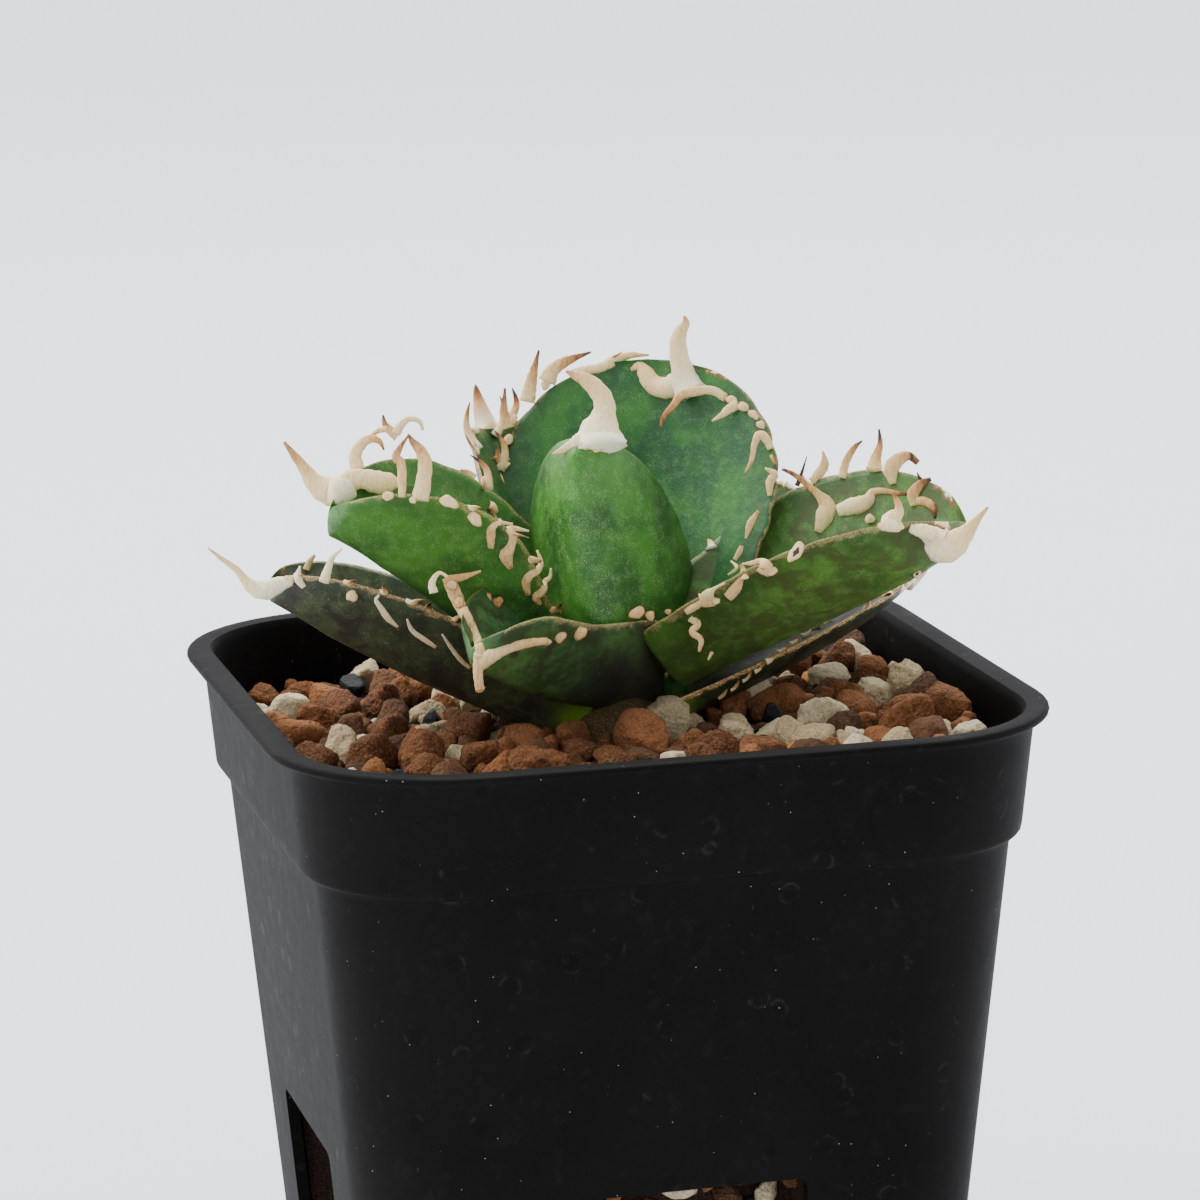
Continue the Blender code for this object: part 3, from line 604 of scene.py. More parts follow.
# -------------------------------------------------------------------- teeth
def sweep(batch, path, widths, flat, wide_dir, tone_from=0.0, tone_to=1.0, pick=0.5, sides=10, twist=0.0):
    """A tapered, flattened horn along a path, closed at both ends."""
    path = np.asarray(path, float)
    n = len(path)
    rings = []
    for i in range(n):
        tangent = path[min(i + 1, n - 1)] - path[max(i - 1, 0)]
        tangent /= np.linalg.norm(tangent) + 1e-9
        a = wide_dir - tangent * (wide_dir @ tangent)
        a /= np.linalg.norm(a) + 1e-9
        b = np.cross(tangent, a)
        turn = twist * i / (n - 1)
        a, b = a * math.cos(turn) + b * math.sin(turn), b * math.cos(turn) - a * math.sin(turn)
        w = widths[i] / 2
        f = flat if np.isscalar(flat) else flat[i]
        for k in range(sides):
            g = math.tau * k / sides
            rings.append(path[i] + a * w * math.cos(g) + b * w * f * math.sin(g))
    tone = []
    for i in range(n):
        tone += [(tone_from + (tone_to - tone_from) * i / (n - 1), pick, 0.5)] * sides
    batch.add(rings, ring_faces(n, sides), tone)


def resample(points, values, count=14):
    """Smooth path through points (Catmull-Rom), with the values eased along it."""
    pts = np.asarray(points, float)
    vals = np.asarray(values, float)
    ext = np.vstack([2 * pts[0] - pts[1], pts, 2 * pts[-1] - pts[-2]])
    vext = np.r_[vals[0], vals, vals[-1]]
    out, vout = [], []
    for i in range(count):
        x = i / (count - 1) * (len(pts) - 1)
        k = min(int(x), len(pts) - 2)
        f = x - k
        w = [-f + 2 * f * f - f**3, 2 - 5 * f * f + 3 * f**3, f + 4 * f * f - 3 * f**3, -f * f + f**3]
        out.append(sum(w[m] * ext[k + m] for m in range(4)) / 2)
        vout.append(max(0.04, sum(w[m] * vext[k + m] for m in range(4)) / 2))
    return np.array(out), np.array(vout)


PX = 1 / 10.1  # mm in one 1200th of the frame, at the plant


def spike(batch, leaf, points, widths, flat=0.6, lean=0.0, tones=(0.0, 1.0), pick=0.5, count=18):
    """A thick spine drawn through places in the view, at its leaf's depth."""
    depth = depth_at(leaf, *points[0])
    pts, wide = resample([[u, v, i] for i, (u, v) in enumerate(points)], widths, count)
    n = len(points) - 1
    scale = depth / FOCAL
    away = []
    for (u, v, i), w in zip(pts, wide):
        d = depth - lean * (i / n)
        own = surface_at(leaf, u, v)
        away.append(d if own is None else min(d, own - 0.15 * w * scale))
    for _ in range(2):
        away = [min(away[k], (away[max(k - 1, 0)] + away[k] + away[min(k + 1, len(away) - 1)]) / 3 + 0.05) for k in range(len(away))]
    path = [seen_at(u, v, d) for (u, v, _), d in zip(pts, away)]
    out = []
    for i in range(len(path)):
        a = pts[min(i + 1, len(pts) - 1)] - pts[max(i - 1, 0)]
        out.append(a)
    tang = path[-1] - path[0]
    across = np.cross(tang, F)
    rings = []
    sides = 14
    n2 = len(path)
    tone = []
    for i in range(n2):
        tangent = path[min(i + 1, n2 - 1)] - path[max(i - 1, 0)]
        tangent /= np.linalg.norm(tangent) + 1e-9
        a = np.cross(tangent, F)
        a /= np.linalg.norm(a) + 1e-9
        b = np.cross(tangent, a)
        w = wide[i] * scale / 2
        for k in range(sides):
            g = math.tau * k / sides
            lump = 1 + 0.05 * math.sin(3 * g + 2.1 * i)
            rings.append(path[i] + a * w * lump * math.cos(g) + b * w * flat * lump * math.sin(g))
        tone += [(tones[0] + (tones[1] - tones[0]) * (i / (n2 - 1)) ** 1.3, pick, 0.5)] * sides
    batch.add(rings, ring_faces(n2, sides), tone)


def tooth(batch, leaf, u0, v0, u1, v1, width=8, c=0.0, s=0.0, lean=0.0, pick=None, tones=(0.0, 1.0)):
    """A tooth from one place in the view to another; c bows it and s gives it a double curve."""
    rng = random.Random(int(u0 * 131 + v0 * 17 + u1))
    depth = depth_at(leaf, u0, v0)
    scale = depth / FOCAL
    du, dv = u1 - u0, v1 - v0
    steps = 12
    path, wide = [], []
    for i in range(steps):
        t = i / (steps - 1)
        off = c * math.sin(math.pi * t) + s * math.sin(2 * math.pi * t)
        u = u0 + du * t - dv * off
        v = v0 + dv * t + du * off
        path.append(seen_at(u, v, depth - lean * t + 0.25 * math.sin(3 * t + u0)))
        wide.append(width * scale * (1.25 - 0.25 * min(1, t * 5)) * (1 - t**1.7) ** 0.9 + 0.10)
    a = np.cross(path[-1] - path[0], F)
    sweep(batch, path, wide, 0.5, a, tones[0], tones[1], rng.random() if pick is None else pick, 10, rng.uniform(-0.9, 0.9))


def bead(batch, leaf, u, v, size, squash=0.45, pick=0.6, tone=0.25, stretch=1.0, turn=0.0, out=0.2, painted_hollow=False):
    """A flat, lobed horny scab on the margin; its last argument sets a small dark brown lump on it, painted shade that
    stands in for a hollow.
    """
    depth = depth_at(leaf, u, v) - out
    scale = depth / FOCAL
    centre = seen_at(u, v, depth)
    rng = random.Random(int(u * 7 + v * 3))
    lobes = [(2, rng.uniform(0.06, 0.13), rng.uniform(0, 6.28)), (3, rng.uniform(0.05, 0.12), rng.uniform(0, 6.28)), (5, rng.uniform(0.02, 0.06), rng.uniform(0, 6.28))]
    a, b = R * math.cos(turn) + U * math.sin(turn), U * math.cos(turn) - R * math.sin(turn)

    def lump(size, squash, forward, base, rim):
        verts, tones = [], []
        rows, cols = 10, 18
        for i in range(rows + 1):
            p = math.pi * i / rows
            for k in range(cols):
                g = math.tau * k / cols
                edge = 1 + sum(h * math.sin(m * g + f) for m, h, f in lobes)
                wide = size * scale / 2 * edge * 0.86 * math.sin(p) ** 0.75
                dent = 1 + 0.10 * math.sin(4 * g + 2.3 * i + lobes[0][2])
                verts.append(centre + a * wide * stretch * math.cos(g) + b * wide * math.sin(g) - F * (size * scale / 2 * squash * math.cos(p) * dent + forward))
                tones.append((base + rim * math.sin(p) ** 6, pick, 0.5))
        batch.add(verts, ring_faces(rows + 1, cols, True, True), tones)

    lump(size, squash, 0.0, tone + 0.05, 0.45)
    # painted shade: a small dark brown lump set on the scab stands in for the shade of a hollow
    if painted_hollow:
        lump(size * 0.48, 0.25, size * scale * squash * 0.40, 1.25, 0.0)


def wild_teeth(batch, name, side, t0, t1, count, size, seed, pick=0.5, lift=0.5):
    """Teeth set along one margin, for the sides that are turned away."""
    leaf = leaf_mesh[name]
    rng = random.Random(seed)
    for i in range(count):
        t = t0 + (t1 - t0) * (i + rng.uniform(-0.25, 0.25)) / max(1, count - 1)
        t = min(0.99, max(0.04, t))
        along, up, across = leaf_axes(leaf, t)
        root = leaf_point(leaf, t, side * 0.985)
        length = size * rng.uniform(0.6, 1.25) * (0.65 + 0.5 * math.sin(math.pi * min(1, t)))
        way = across * side * 0.9 + up * lift + along * rng.uniform(-0.5, 0.4)
        way /= np.linalg.norm(way)
        curl = along * rng.choice((-1, 1)) * rng.uniform(0.3, 0.9) + up * rng.uniform(-0.3, 0.8)
        wob = rng.uniform(-0.25, 0.25)
        path = [
            root - way * 0.3 + way * (length + 0.3) * (k / 10) + curl * length * 0.5 * (k / 10) ** 2 + along * wob * length * math.sin(math.tau * k / 10) * 0.4
            for k in range(11)
        ]
        top = 0.55 + 0.35 * rng.random()
        wide = [top * (1.5 - 0.5 * min(1, k / 2)) * (1 - (k / 10) ** 1.7) ** 0.9 + 0.07 for k in range(11)]
        sweep(batch, path, wide, 0.5, along, 0.0, 1.0, rng.random(), 8, rng.uniform(-1, 1))


def make_teeth(name, batch):
    obj = batch.make("teeth_" + name, HORN)
    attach(obj, "root")
    return obj


b = Batch()
spike(b, "heart", [(601, 449), (600, 440), (601, 428), (604, 415), (604, 402), (598, 391), (586, 380), (574, 375), (566, 371)], [53, 50, 40, 25, 21, 19, 15, 8, 3], 0.62, 0.0, (0.0, 0.80), 0.30, 26)
spike(b, "heart", [(580, 440), (572, 445), (563, 450), (552, 454)], [15, 11, 8, 2], 0.5, 0.3, (0.0, 0.5))
for u, v, size, st, tn in ((583, 446, 9, 1.3, -0.4), (597, 449, 9, 1.6, 0.0), (612, 449, 8, 1.6, 0.1), (624, 446, 6, 1.2, 0.2)):
    bead(b, "heart", u, v, size, 0.5, 0.55, 0.20, st, tn, 0.3)
make_teeth("heart", b)

b = Batch()
spike(b, "back", [(692, 394), (686, 382), (681, 364), (678, 347), (680, 333), (686, 323), (684, 316)], [34, 29, 21, 18, 14, 8, 3], 0.6, 0.8, (0.0, 0.75), 0.3)
spike(b, "back", [(631, 370), (639, 366), (646, 374), (653, 384), (666, 388), (680, 382), (690, 374)], [4, 10, 17, 20, 22, 24, 20], 0.5, 0.4, (0.55, 0.05), 0.3, 22)
for pts, wide, tones in (
    ([(726, 398), (714, 391), (704, 390), (693, 392), (681, 395), (673, 406), (664, 416), (660, 428)], [9, 9, 9, 10, 9, 7, 5, 2], (0.2, 0.8)),
    ([(738, 404), (728, 410), (722, 415), (712, 421)], [11, 9, 6, 2], (0.2, 0.3)),
    ([(771, 449), (766, 439), (759, 435), (754, 446), (752, 459), (745, 473)], [7, 9, 9, 6, 5, 2], (0.25, 0.5)),
    ([(771, 455), (774, 462), (777, 470)], [4, 3, 1], (0.5, 1.0)),
    ([(770, 496), (770, 483), (774, 474), (765, 468)], [5, 9, 8, 2], (0.3, 0.3)),
    ([(746, 539), (751, 524), (759, 511)], [3, 9, 4], (0.3, 0.5)),
    ([(735, 560), (740, 552), (742, 546)], [5, 7, 5], (0.3, 0.4)),
    ([(732, 588), (739, 582), (744, 573), (741, 564)], [12, 13, 8, 4], (0.2, 0.6)),
    ([(731, 561), (737, 568), (728, 575)], [2, 4, 2], (0.0, 0.1)),
    ([(527, 402), (532, 378), (539, 350)], [16, 11, 2], (0.2, 0.9)),
    ([(509, 428), (504, 412), (505, 388)], [13, 9, 2], (0.3, 0.9)),
    ([(547, 382), (553, 370), (567, 361), (591, 352)], [18, 14, 10, 2], (0.2, 0.9)),
    ([(572, 374), (585, 370), (602, 367), (626, 356), (649, 355)], [9, 9, 10, 8, 2], (0.1, 0.5)),
    ([(596, 370), (606, 362), (622, 352)], [6, 5, 1], (0.2, 0.8)),
    ([(508, 467), (499, 459), (497, 446)], [9, 8, 2], (0.3, 0.8)),
):
    spike(b, "back", pts, wide, 0.5, 0.25, tones, 0.62, 20)
for u, v, size, st, tn in ((508, 440, 11, 1.4, 1.2), (513, 420, 10, 1.4, 1.1), (531, 396, 10, 1.3, 0.9), (546, 384, 11, 1.3, 0.7), (732, 400, 11, 1.4, -0.4), (744, 407, 11, 1.5, -0.5), (754, 415, 10, 1.5, -0.7), (761, 425, 9, 1.4, -0.9), (768, 444, 8, 1.4, -1.2), (700, 390, 8, 1.4, -0.3)):
    bead(b, "back", u, v, size, 0.4, 0.5, 0.2, st, tn)
wild_teeth(b, "back", 1, 0.35, 0.7, 4, 1.6, 5)
make_teeth("back", b)

b = Batch()
spike(b, "left_up", [(352, 487), (340, 491), (327, 490), (315, 483), (304, 468), (294, 455), (284, 442)], [22, 30, 29, 20, 12, 8, 3], 0.6, 0.0, (0.0, 0.95), 0.3, 24)
spike(b, "left_up", [(340, 484), (352, 480), (364, 479), (376, 482), (390, 485), (394, 490)], [16, 22, 20, 23, 22, 15], 0.45, 0.5, (0.15, 0.35), 0.5, 22)
for pts, wide, tones in (
    ([(402, 497), (402, 480), (401, 463), (396, 457), (401, 446), (409, 435)], [7, 9, 9, 9, 5, 2], (0.3, 0.8)),
    ([(420, 500), (424, 478), (425, 462), (420, 450), (413, 442), (408, 434)], [18, 15, 14, 11, 7, 2], (0.15, 0.85)),
    ([(358, 470), (355, 457), (360, 446), (369, 439), (379, 441), (384, 450)], [15, 13, 11, 9, 6, 2], (0.05, 0.75)),
    ([(398, 436), (390, 430), (385, 424), (383, 415)], [12, 9, 6, 2], (0.2, 1.0)),
    ([(370, 437), (378, 431), (387, 429)], [3, 5, 6], (0.5, 0.2)),
    ([(396, 434), (401, 425), (409, 419), (419, 421), (423, 430)], [9, 8, 6, 5, 3], (0.1, 0.2)),
    ([(491, 548), (491, 536), (492, 528), (499, 523), (513, 524)], [6, 9, 8, 5, 2], (0.45, 0.25)),
    ([(511, 568), (506, 556), (511, 546), (513, 536), (509, 529), (517, 529), (529, 531)], [6, 14, 9, 8, 7, 5, 2], (0.45, 0.25)),
    ([(528, 595), (526, 583), (530, 575), (538, 570), (541, 562), (537, 550)], [6, 9, 9, 7, 5, 2], (0.5, 0.1)),
    ([(541, 605), (536, 597), (543, 590), (545, 582), (550, 577), (551, 568)], [4, 9, 8, 6, 4, 2], (0.5, 0.1)),
    ([(550, 612), (556, 609), (562, 613)], [5, 5, 2], (0.5, 0.7)),
):
    spike(b, "left_up", pts, wide, 0.45, 0.2, tones, 0.62, 20)
for u, v, size, st, tn, painted_hollow in ((369, 486, 15, 1.1, 0.2, True), (388, 496, 12, 1.1, 0.5, False), (449, 502, 15, 1.45, -0.28, False), (475, 519, 15, 1.25, -0.9, False), (413, 500, 8, 1.2, 0, False), (565, 612, 7, 1.0, 0, False)):
    bead(b, "left_up", u, v, size, 0.35, 0.55, 0.15, st, tn, 0.4, painted_hollow)
for u, v, size, st, tn in ((486, 598, 15, 1.1, 0.2), (498, 602, 14, 1.0, 0)):
    bead(b, "left_up", u, v, size, 0.5, 0.85, 0.35, st, tn, 0.9)
wild_teeth(b, "left_up", 1, 0.2, 0.7, 5, 1.8, 6)
make_teeth("left_up", b)

b = Batch()
spike(b, "right_up", [(921, 532), (931, 536), (941, 545), (953, 544), (965, 534), (976, 521), (988, 507)], [12, 22, 36, 31, 19, 9, 3], 0.55, 0.0, (0.0, 0.7), 0.28, 26)
spike(b, "right_up", [(910, 528), (918, 530), (927, 532), (936, 536)], [9, 13, 15, 14], 0.5, 0.2, (0.15, 0.15), 0.35)
spike(b, "right_up", [(838, 511), (850, 507), (862, 504), (869, 499), (873, 492), (884, 491), (896, 493), (907, 494)], [12, 17, 17, 13, 8, 6, 5, 3], 0.5, 0.3, (0.1, 0.9), 0.4, 24)
spike(b, "right_up", [(890, 529), (892, 520), (899, 511), (897, 501), (893, 494)], [21, 20, 10, 6, 3], 0.5, 0.3, (0.1, 0.85), 0.45)
for pts, wide, tones in (
    ([(818, 532), (824, 518), (827, 506), (819, 495), (807, 485), (795, 475), (782, 469)], [8, 18, 18, 9, 6, 5, 3], (0.15, 0.85)),
    ([(842, 478), (846, 462), (854, 448), (862, 441)], [9, 8, 6, 2], (0.3, 0.9)),
    ([(874, 470), (876, 458), (880, 444), (879, 429)], [17, 11, 6, 2], (0.2, 1.0)),
    ([(893, 484), (891, 470), (898, 460), (909, 456), (918, 463)], [7, 16, 14, 9, 6], (0.25, 0.8)),
    ([(912, 461), (912, 456), (910, 452)], [4, 3, 1], (0.9, 1.1)),
    ([(914, 506), (913, 494), (921, 484), (931, 479)], [7, 12, 9, 4], (0.3, 0.95)),
    ([(922, 482), (919, 477), (917, 472)], [5, 3, 1], (0.9, 1.1)),
    ([(911, 503), (923, 501), (933, 507), (935, 518)], [7, 9, 8, 3], (0.35, 0.9)),
    ([(812, 482), (824, 466), (823, 451)], [9, 10, 2], (0.3, 0.5)),
    ([(797, 486), (802, 472), (807, 456)], [5, 3, 1], (0.9, 1.1)),
    ([(763, 573), (766, 566), (760, 561), (753, 563), (742, 564)], [14, 14, 6, 5, 2], (0.3, 0.35)),
    ([(708, 605), (708, 596), (714, 589), (725, 583)], [17, 14, 4, 2], (0.3, 0.1)),
    ([(728, 597), (736, 588), (742, 578)], [11, 11, 5], (0.3, 0.5)),
    ([(686, 612), (694, 607), (703, 601), (699, 594)], [7, 8, 6, 2], (0.3, 0.3)),
    ([(690, 618), (698, 624), (692, 632), (701, 640), (699, 652)], [8, 7, 7, 6, 3], (0.3, 0.5)),
    ([(712, 652), (708, 660)], [4, 2], (0.0, 0.2)),
):
    spike(b, "right_up", pts, wide, 0.45, 0.2, tones, 0.62, 20)
for u, v, size, st, tn, painted_hollow in ((870, 519, 12, 1.0, 0, False), (883, 526, 11, 1.1, 0, False), (900, 526, 10, 1.0, 0, False), (796, 552, 15, 1.7, 0.95, True), (917, 574, 9, 1.1, 0.4, True), (906, 585, 5, 1.0, 0, False), (772, 571, 11, 1.2, 0.2, False), (745, 577, 7, 1.2, 0, False), (716, 601, 9, 1.0, 0, False)):
    bead(b, "right_up", u, v, size, 0.4, 0.45, 0.12, st, tn, 0.3, painted_hollow)
wild_teeth(b, "right_up", 1, 0.25, 0.6, 3, 1.8, 7)
make_teeth("right_up", b)

b = Batch()
spike(b, "front", [(448, 577), (455, 594), (462, 609), (471, 626), (479, 645), (480, 658)], [13, 14, 12, 10, 9, 11], 0.45, 0.1, (0.5, 0.35), 0.5, 26)
spike(b, "front", [(480, 654), (478, 672), (480, 691)], [13, 10, 9], 0.5, 0.1, (0.35, 0.55), 0.5)
spike(b, "front", [(479, 664), (491, 656), (506, 649), (529, 643), (548, 641)], [16, 15, 11, 9, 7], 0.45, 0.0, (0.25, 0.6), 0.5, 24)
for pts, wide, tones in (
    ([(445, 580), (463, 577), (481, 571)], [9, 7, 2], (0.55, 0.5)),
    ([(434, 593), (432, 583), (439, 573), (448, 577)], [9, 7, 4, 3], (0.0, 0.2)),
):
    spike(b, "front", pts, wide, 0.45, 0.2, tones, 0.62, 20)
for u, v, size, st, tn in ((480, 689, 10, 1.1, 0.2), (452, 585, 12, 1.2, 0.9), (459, 602, 12, 1.2, 1.1), (470, 624, 11, 1.2, 1.1), (546, 642, 9, 1.5, 0.2), (560, 637, 13, 1.3, 0.3), (580, 633, 16, 1.15, 0.4), (603, 622, 15, 1.35, 0.2), (618, 622, 12, 1.2, 0.2), (628, 617, 10, 1.2, 0.1), (637, 613, 15, 1.3, 0.2), (650, 616, 12, 1.1, 0), (668, 612, 8, 1.0, 0), (684, 616, 8, 1.0, 0)):
    bead(b, "front", u, v, size, 0.5, 0.72, 0.28, st, tn)
make_teeth("front", b)

b = Batch()
spike(b, "low_left", [(292, 581), (278, 585), (266, 590), (254, 588), (245, 580), (236, 569), (222, 559), (208, 548)], [9, 17, 20, 16, 10, 7, 5, 2], 0.55, 0.0, (0.0, 0.62), 0.22, 26)
for pts, wide, tones in (
    ([(304, 587), (298, 578), (300, 566)], [6, 8, 2], (0.05, 0.0)),
    ([(324, 582), (328, 569), (333, 557), (342, 549)], [11, 8, 5, 2], (0.15, 0.0)),
    ([(306, 570), (310, 561), (315, 555)], [7, 6, 3], (0.4, 0.6)),
    ([(398, 627), (388, 618), (381, 608), (376, 600), (379, 595)], [3, 7, 6, 4, 2], (0.2, 0.0)),
    ([(436, 647), (424, 639), (412, 630), (407, 619)], [4, 6, 5, 2], (0.2, 0.0)),
    ([(470, 668), (460, 659), (450, 646), (442, 634)], [4, 5, 4, 2], (0.2, 0.0)),
):
    spike(b, "low_left", pts, wide, 0.5, 0.5, tones, 0.40, 20)
for u, v, size, st, tn in ((288, 580, 11, 1.4, 0.2), (352, 596, 13, 1.2, 0.6),):
    bead(b, "low_left", u, v, size, 0.4, 0.5, 0.25, st, tn)
wild_teeth(b, "low_left", 1, 0.3, 0.95, 7, 1.6, 8)
make_teeth("low_left", b)

b = Batch()
for u, v in ((718, 694), (730, 686), (742, 677), (754, 668), (766, 659), (778, 650), (790, 642), (802, 634), (812, 627), (822, 620)):
    tooth(b, "low_right", u, v + 3, u + 9, v - 6, 5, 0.15, 0.0, 0.2, 0.4, (0.1, 0.8))
wild_teeth(b, "low_right", 1, 0.2, 0.95, 9, 1.6, 9)
wild_teeth(b, "low_right", -1, 0.72, 0.95, 3, 1.4, 19)
make_teeth("low_right", b)

for k, (name, count, size) in enumerate((("back_left", 9, 2.4), ("back_right", 9, 2.4), ("low_back", 9, 2.0), ("low_back_left", 8, 1.8))):
    b = Batch()
    wild_teeth(b, name, 1, 0.2, 0.96, count, size, 30 + k)
    wild_teeth(b, name, -1, 0.2, 0.96, count, size, 40 + k)
    if name == "back_left":
        for row in ((500, 470, 494, 430, 8, 0.2), (488, 490, 470, 455, 8, 0.2), (478, 450, 470, 402, 9, -0.15), (495, 436, 500, 396, 8, 0.15), (508, 420, 512, 388, 8, 0.2), (474, 478, 460, 470, 7, 0.1)):
            tooth(b, name, *row)
    make_teeth(name, b)


# ------------------------------------------------------------------- grains
def ico(level):
    bm = bmesh.new()
    bmesh.ops.create_icosphere(bm, subdivisions=level, radius=1.0)
    verts = np.array([v.co[:] for v in bm.verts])
    faces = [tuple(v.index for v in f.verts) for f in bm.faces]
    bm.free()
    return verts / np.linalg.norm(verts, axis=1)[:, None], faces


ICO4, ICO4_FACES = ico(4)
ICO5, ICO5_FACES = ico(5)


def stone_points(seed, size, kind, fine=False):
    """A broken mineral grain: worn facets with a lumpy, pitted skin."""
    rng = np.random.default_rng(seed)
    d = ICO5 if fine else ICO4
    n = 15 if kind != "orange" else 30
    planes = rng.normal(size=(n, 3))
    planes /= np.linalg.norm(planes, axis=1)[:, None]
    reach = rng.uniform(0.62, 0.98, n)
    if kind == "charcoal":
        reach = rng.uniform(0.45, 0.95, n)
    c = np.maximum(d @ planes.T, 1e-3)
    k = 9.0 if kind in ("akadama", "pumice") else (5.0 if kind == "orange" else 26.0)
    r = np.minimum((((c / reach) ** k).sum(axis=1)) ** (-1 / k), 1.05)
    rough = {"akadama": 0.085, "pumice": 0.105, "orange": 0.02, "charcoal": 0.02}[kind]
    bumps = np.zeros(len(d))
    for octave, amp in ((2.2, 0.55), (4.4, 0.45), (8.5, 0.36), (16.0, 0.22)):
        for _ in range(4):
            w = rng.normal(size=3) * octave
            bumps += amp / 2 * np.sin(d @ w + rng.uniform(0, 6.28)) * np.cos(d @ (rng.normal(size=3) * octave * 0.8) + rng.uniform(0, 6.28))
    r = r * (1 + rough * bumps)
    scale = size / 2 * np.array([1.0, rng.uniform(0.70, 0.92), rng.uniform(0.62, 0.85)])
    pts = d * r[:, None] * scale
    q = rng.normal(size=4)
    q /= np.linalg.norm(q)
    turn = quat(q)
    return pts @ turn.T, np.clip(0.5 + bumps * 0.5, 0, 1), rng.uniform()


def quat(q):
    w, x, y, z = q
    return np.array([
        [1 - 2 * (y * y + z * z), 2 * (x * y - w * z), 2 * (x * z + w * y)],
        [2 * (x * y + w * z), 1 - 2 * (x * x + z * z), 2 * (y * z - w * x)],
        [2 * (x * z - w * y), 2 * (y * z + w * x), 1 - 2 * (x * x + y * y)],
    ])


BED_TOP, BED_SLOPE = 68.6, 0.055


def bed_height(x, y):
    return BED_TOP + 0.55 * math.sin(0.71 * x + 0.4) * math.cos(0.63 * y - 0.8) + 0.35 * math.sin(1.13 * x - 1.27 * y + 1.1) + BED_SLOPE * x


MATS = {"akadama": AKADAMA, "akadama_dark": AKADAMA_DARK, "pumice": PUMICE, "orange": ORANGE, "charcoal": CHARCOAL}
placed = []
# The larger grains, where the frame has them
for node in sorted(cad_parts):
    if "grain" not in node and node != "charcoal_chip":
        continue
    lo, hi = (np.array(c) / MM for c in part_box(node))
    centre, sides = (lo + hi) / 2, hi - lo
    kind = node.split("_")[0]
    seed = sum(ord(ch) * (i + 3) for i, ch in enumerate(node))
    pts, hollow, pick = stone_points(seed, float(max(sides)) * 1.16, kind, True)
    centre = centre + np.array([0, 0, 0.1])
    obj = outward(add_mesh(node + "_stone", pts + centre, ICO5_FACES, MATS[kind], np.c_[np.full(len(pts), pick), hollow, hollow]))
    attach(obj, "root")
    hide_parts(node)
    placed.append((*centre, float(max(sides)) / 2))

rng = random.Random(11)
batches = {k: Batch() for k in MATS}


def drop(kind, x, y, z, size, seed):
    pts, hollow, pick = stone_points(seed, size, kind.replace("_dark", ""))
    batches[kind].add(pts + np.array([x, y, z]), ICO4_FACES, np.c_[np.full(len(pts), pick), hollow, hollow])


def inside(x, y, pad):
    half, corner = 34.3 - pad, 12.6
    ax, ay = abs(x), abs(y)
    if ax > half or ay > half:
        return False
    mid = half - corner
    return ax < mid or ay < mid or (ax - mid) ** 2 + (ay - mid) ** 2 < corner**2


def scatter(tries, low, high, spacing, lift, seed0, pale):
    made = 0
    for i in range(tries):
        x, y = rng.uniform(-34, 34), rng.uniform(-34, 34)
        size = rng.uniform(low, high)
        if not inside(x, y, size * 0.5) or (x - 1) ** 2 + (y + 0.5) ** 2 < 32:
            continue
        z = bed_height(x, y) + lift * size
        if any((x - a) ** 2 + (y - b) ** 2 + (0.8 * (z - c)) ** 2 < (spacing * (size / 2 + r)) ** 2 for a, b, c, r in placed):
            continue
        roll = rng.random()
        kind = "pumice" if roll < pale else ("akadama_dark" if roll < pale + 0.22 else ("orange" if roll > 0.985 else ("charcoal" if roll > 0.975 else "akadama")))
        if kind in ("orange", "charcoal"):
            size *= 0.7
        drop(kind, x, y, z, size, seed0 + i)
        placed.append((x, y, z, size / 2))
        made += 1
    return made


scatter(1500, 4.4, 6.4, 0.72, 0.16, 1000, 0.22)
scatter(2200, 3.0, 4.6, 0.66, 0.10, 4000, 0.24)
scatter(3400, 1.8, 3.2, 0.60, 0.02, 8000, 0.22)

# Grains behind the drain windows
for axis in (0, 1):
    for sign in (-1, 1):
        spots = []
        for i in range(700):
            a, z = rng.uniform(-12, 12), rng.uniform(3.0, 32.0)
            size = rng.uniform(2.6, 5.0)
            if any((a - p) ** 2 + (z - q) ** 2 < (0.66 * (size / 2 + r)) ** 2 for p, q, r in spots):
                continue
            spots.append((a, z, size / 2))
            half = 28.4 + 5.6 * 7 / 62.8 - 1.2 - 4.6
            out = half + size * 0.12
            xyz = (sign * out, a, z) if axis == 0 else (a, sign * out, z)
            roll = rng.random()
            kind = "pumice" if roll < 0.22 else ("akadama_dark" if roll < 0.50 else "akadama")
            drop(kind, *xyz, size, 20000 + i + 800 * (axis * 2 + (sign > 0)))

for kind, batch in batches.items():
    obj = batch.make("gravel_" + kind, MATS[kind])
    if obj:
        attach(obj, "root")

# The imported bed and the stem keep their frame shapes
for node, mat in (("substrate_bed", BEDDING), ("substrate_base", BEDDING), ("root_stem", ROOT)):
    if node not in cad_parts:
        continue
    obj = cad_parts[node]
    obj.data.materials.clear() if not len(obj.material_slots) else None
    for slot in obj.material_slots:
        slot.link = "OBJECT"
        slot.material = mat


# ---------------------------------------------------------------------- pot
def rounded_square(half, corner, z, per=14):
    ring, mid = [], half - corner
    for quarter in range(4):
        cx = mid * (1 if quarter in (0, 3) else -1)
        cy = mid * (1 if quarter in (0, 1) else -1)
        for k in range(per):
            a = math.radians(90 * quarter + 90 * k / (per - 1))
            ring.append((cx + corner * math.cos(a), cy + corner * math.sin(a), z))
    return ring


def body_half(z):
    return 28.4 + 5.6 * z / 62.8


def body_corner(z):
    return 10.5 + 2.1 * z / 62.8


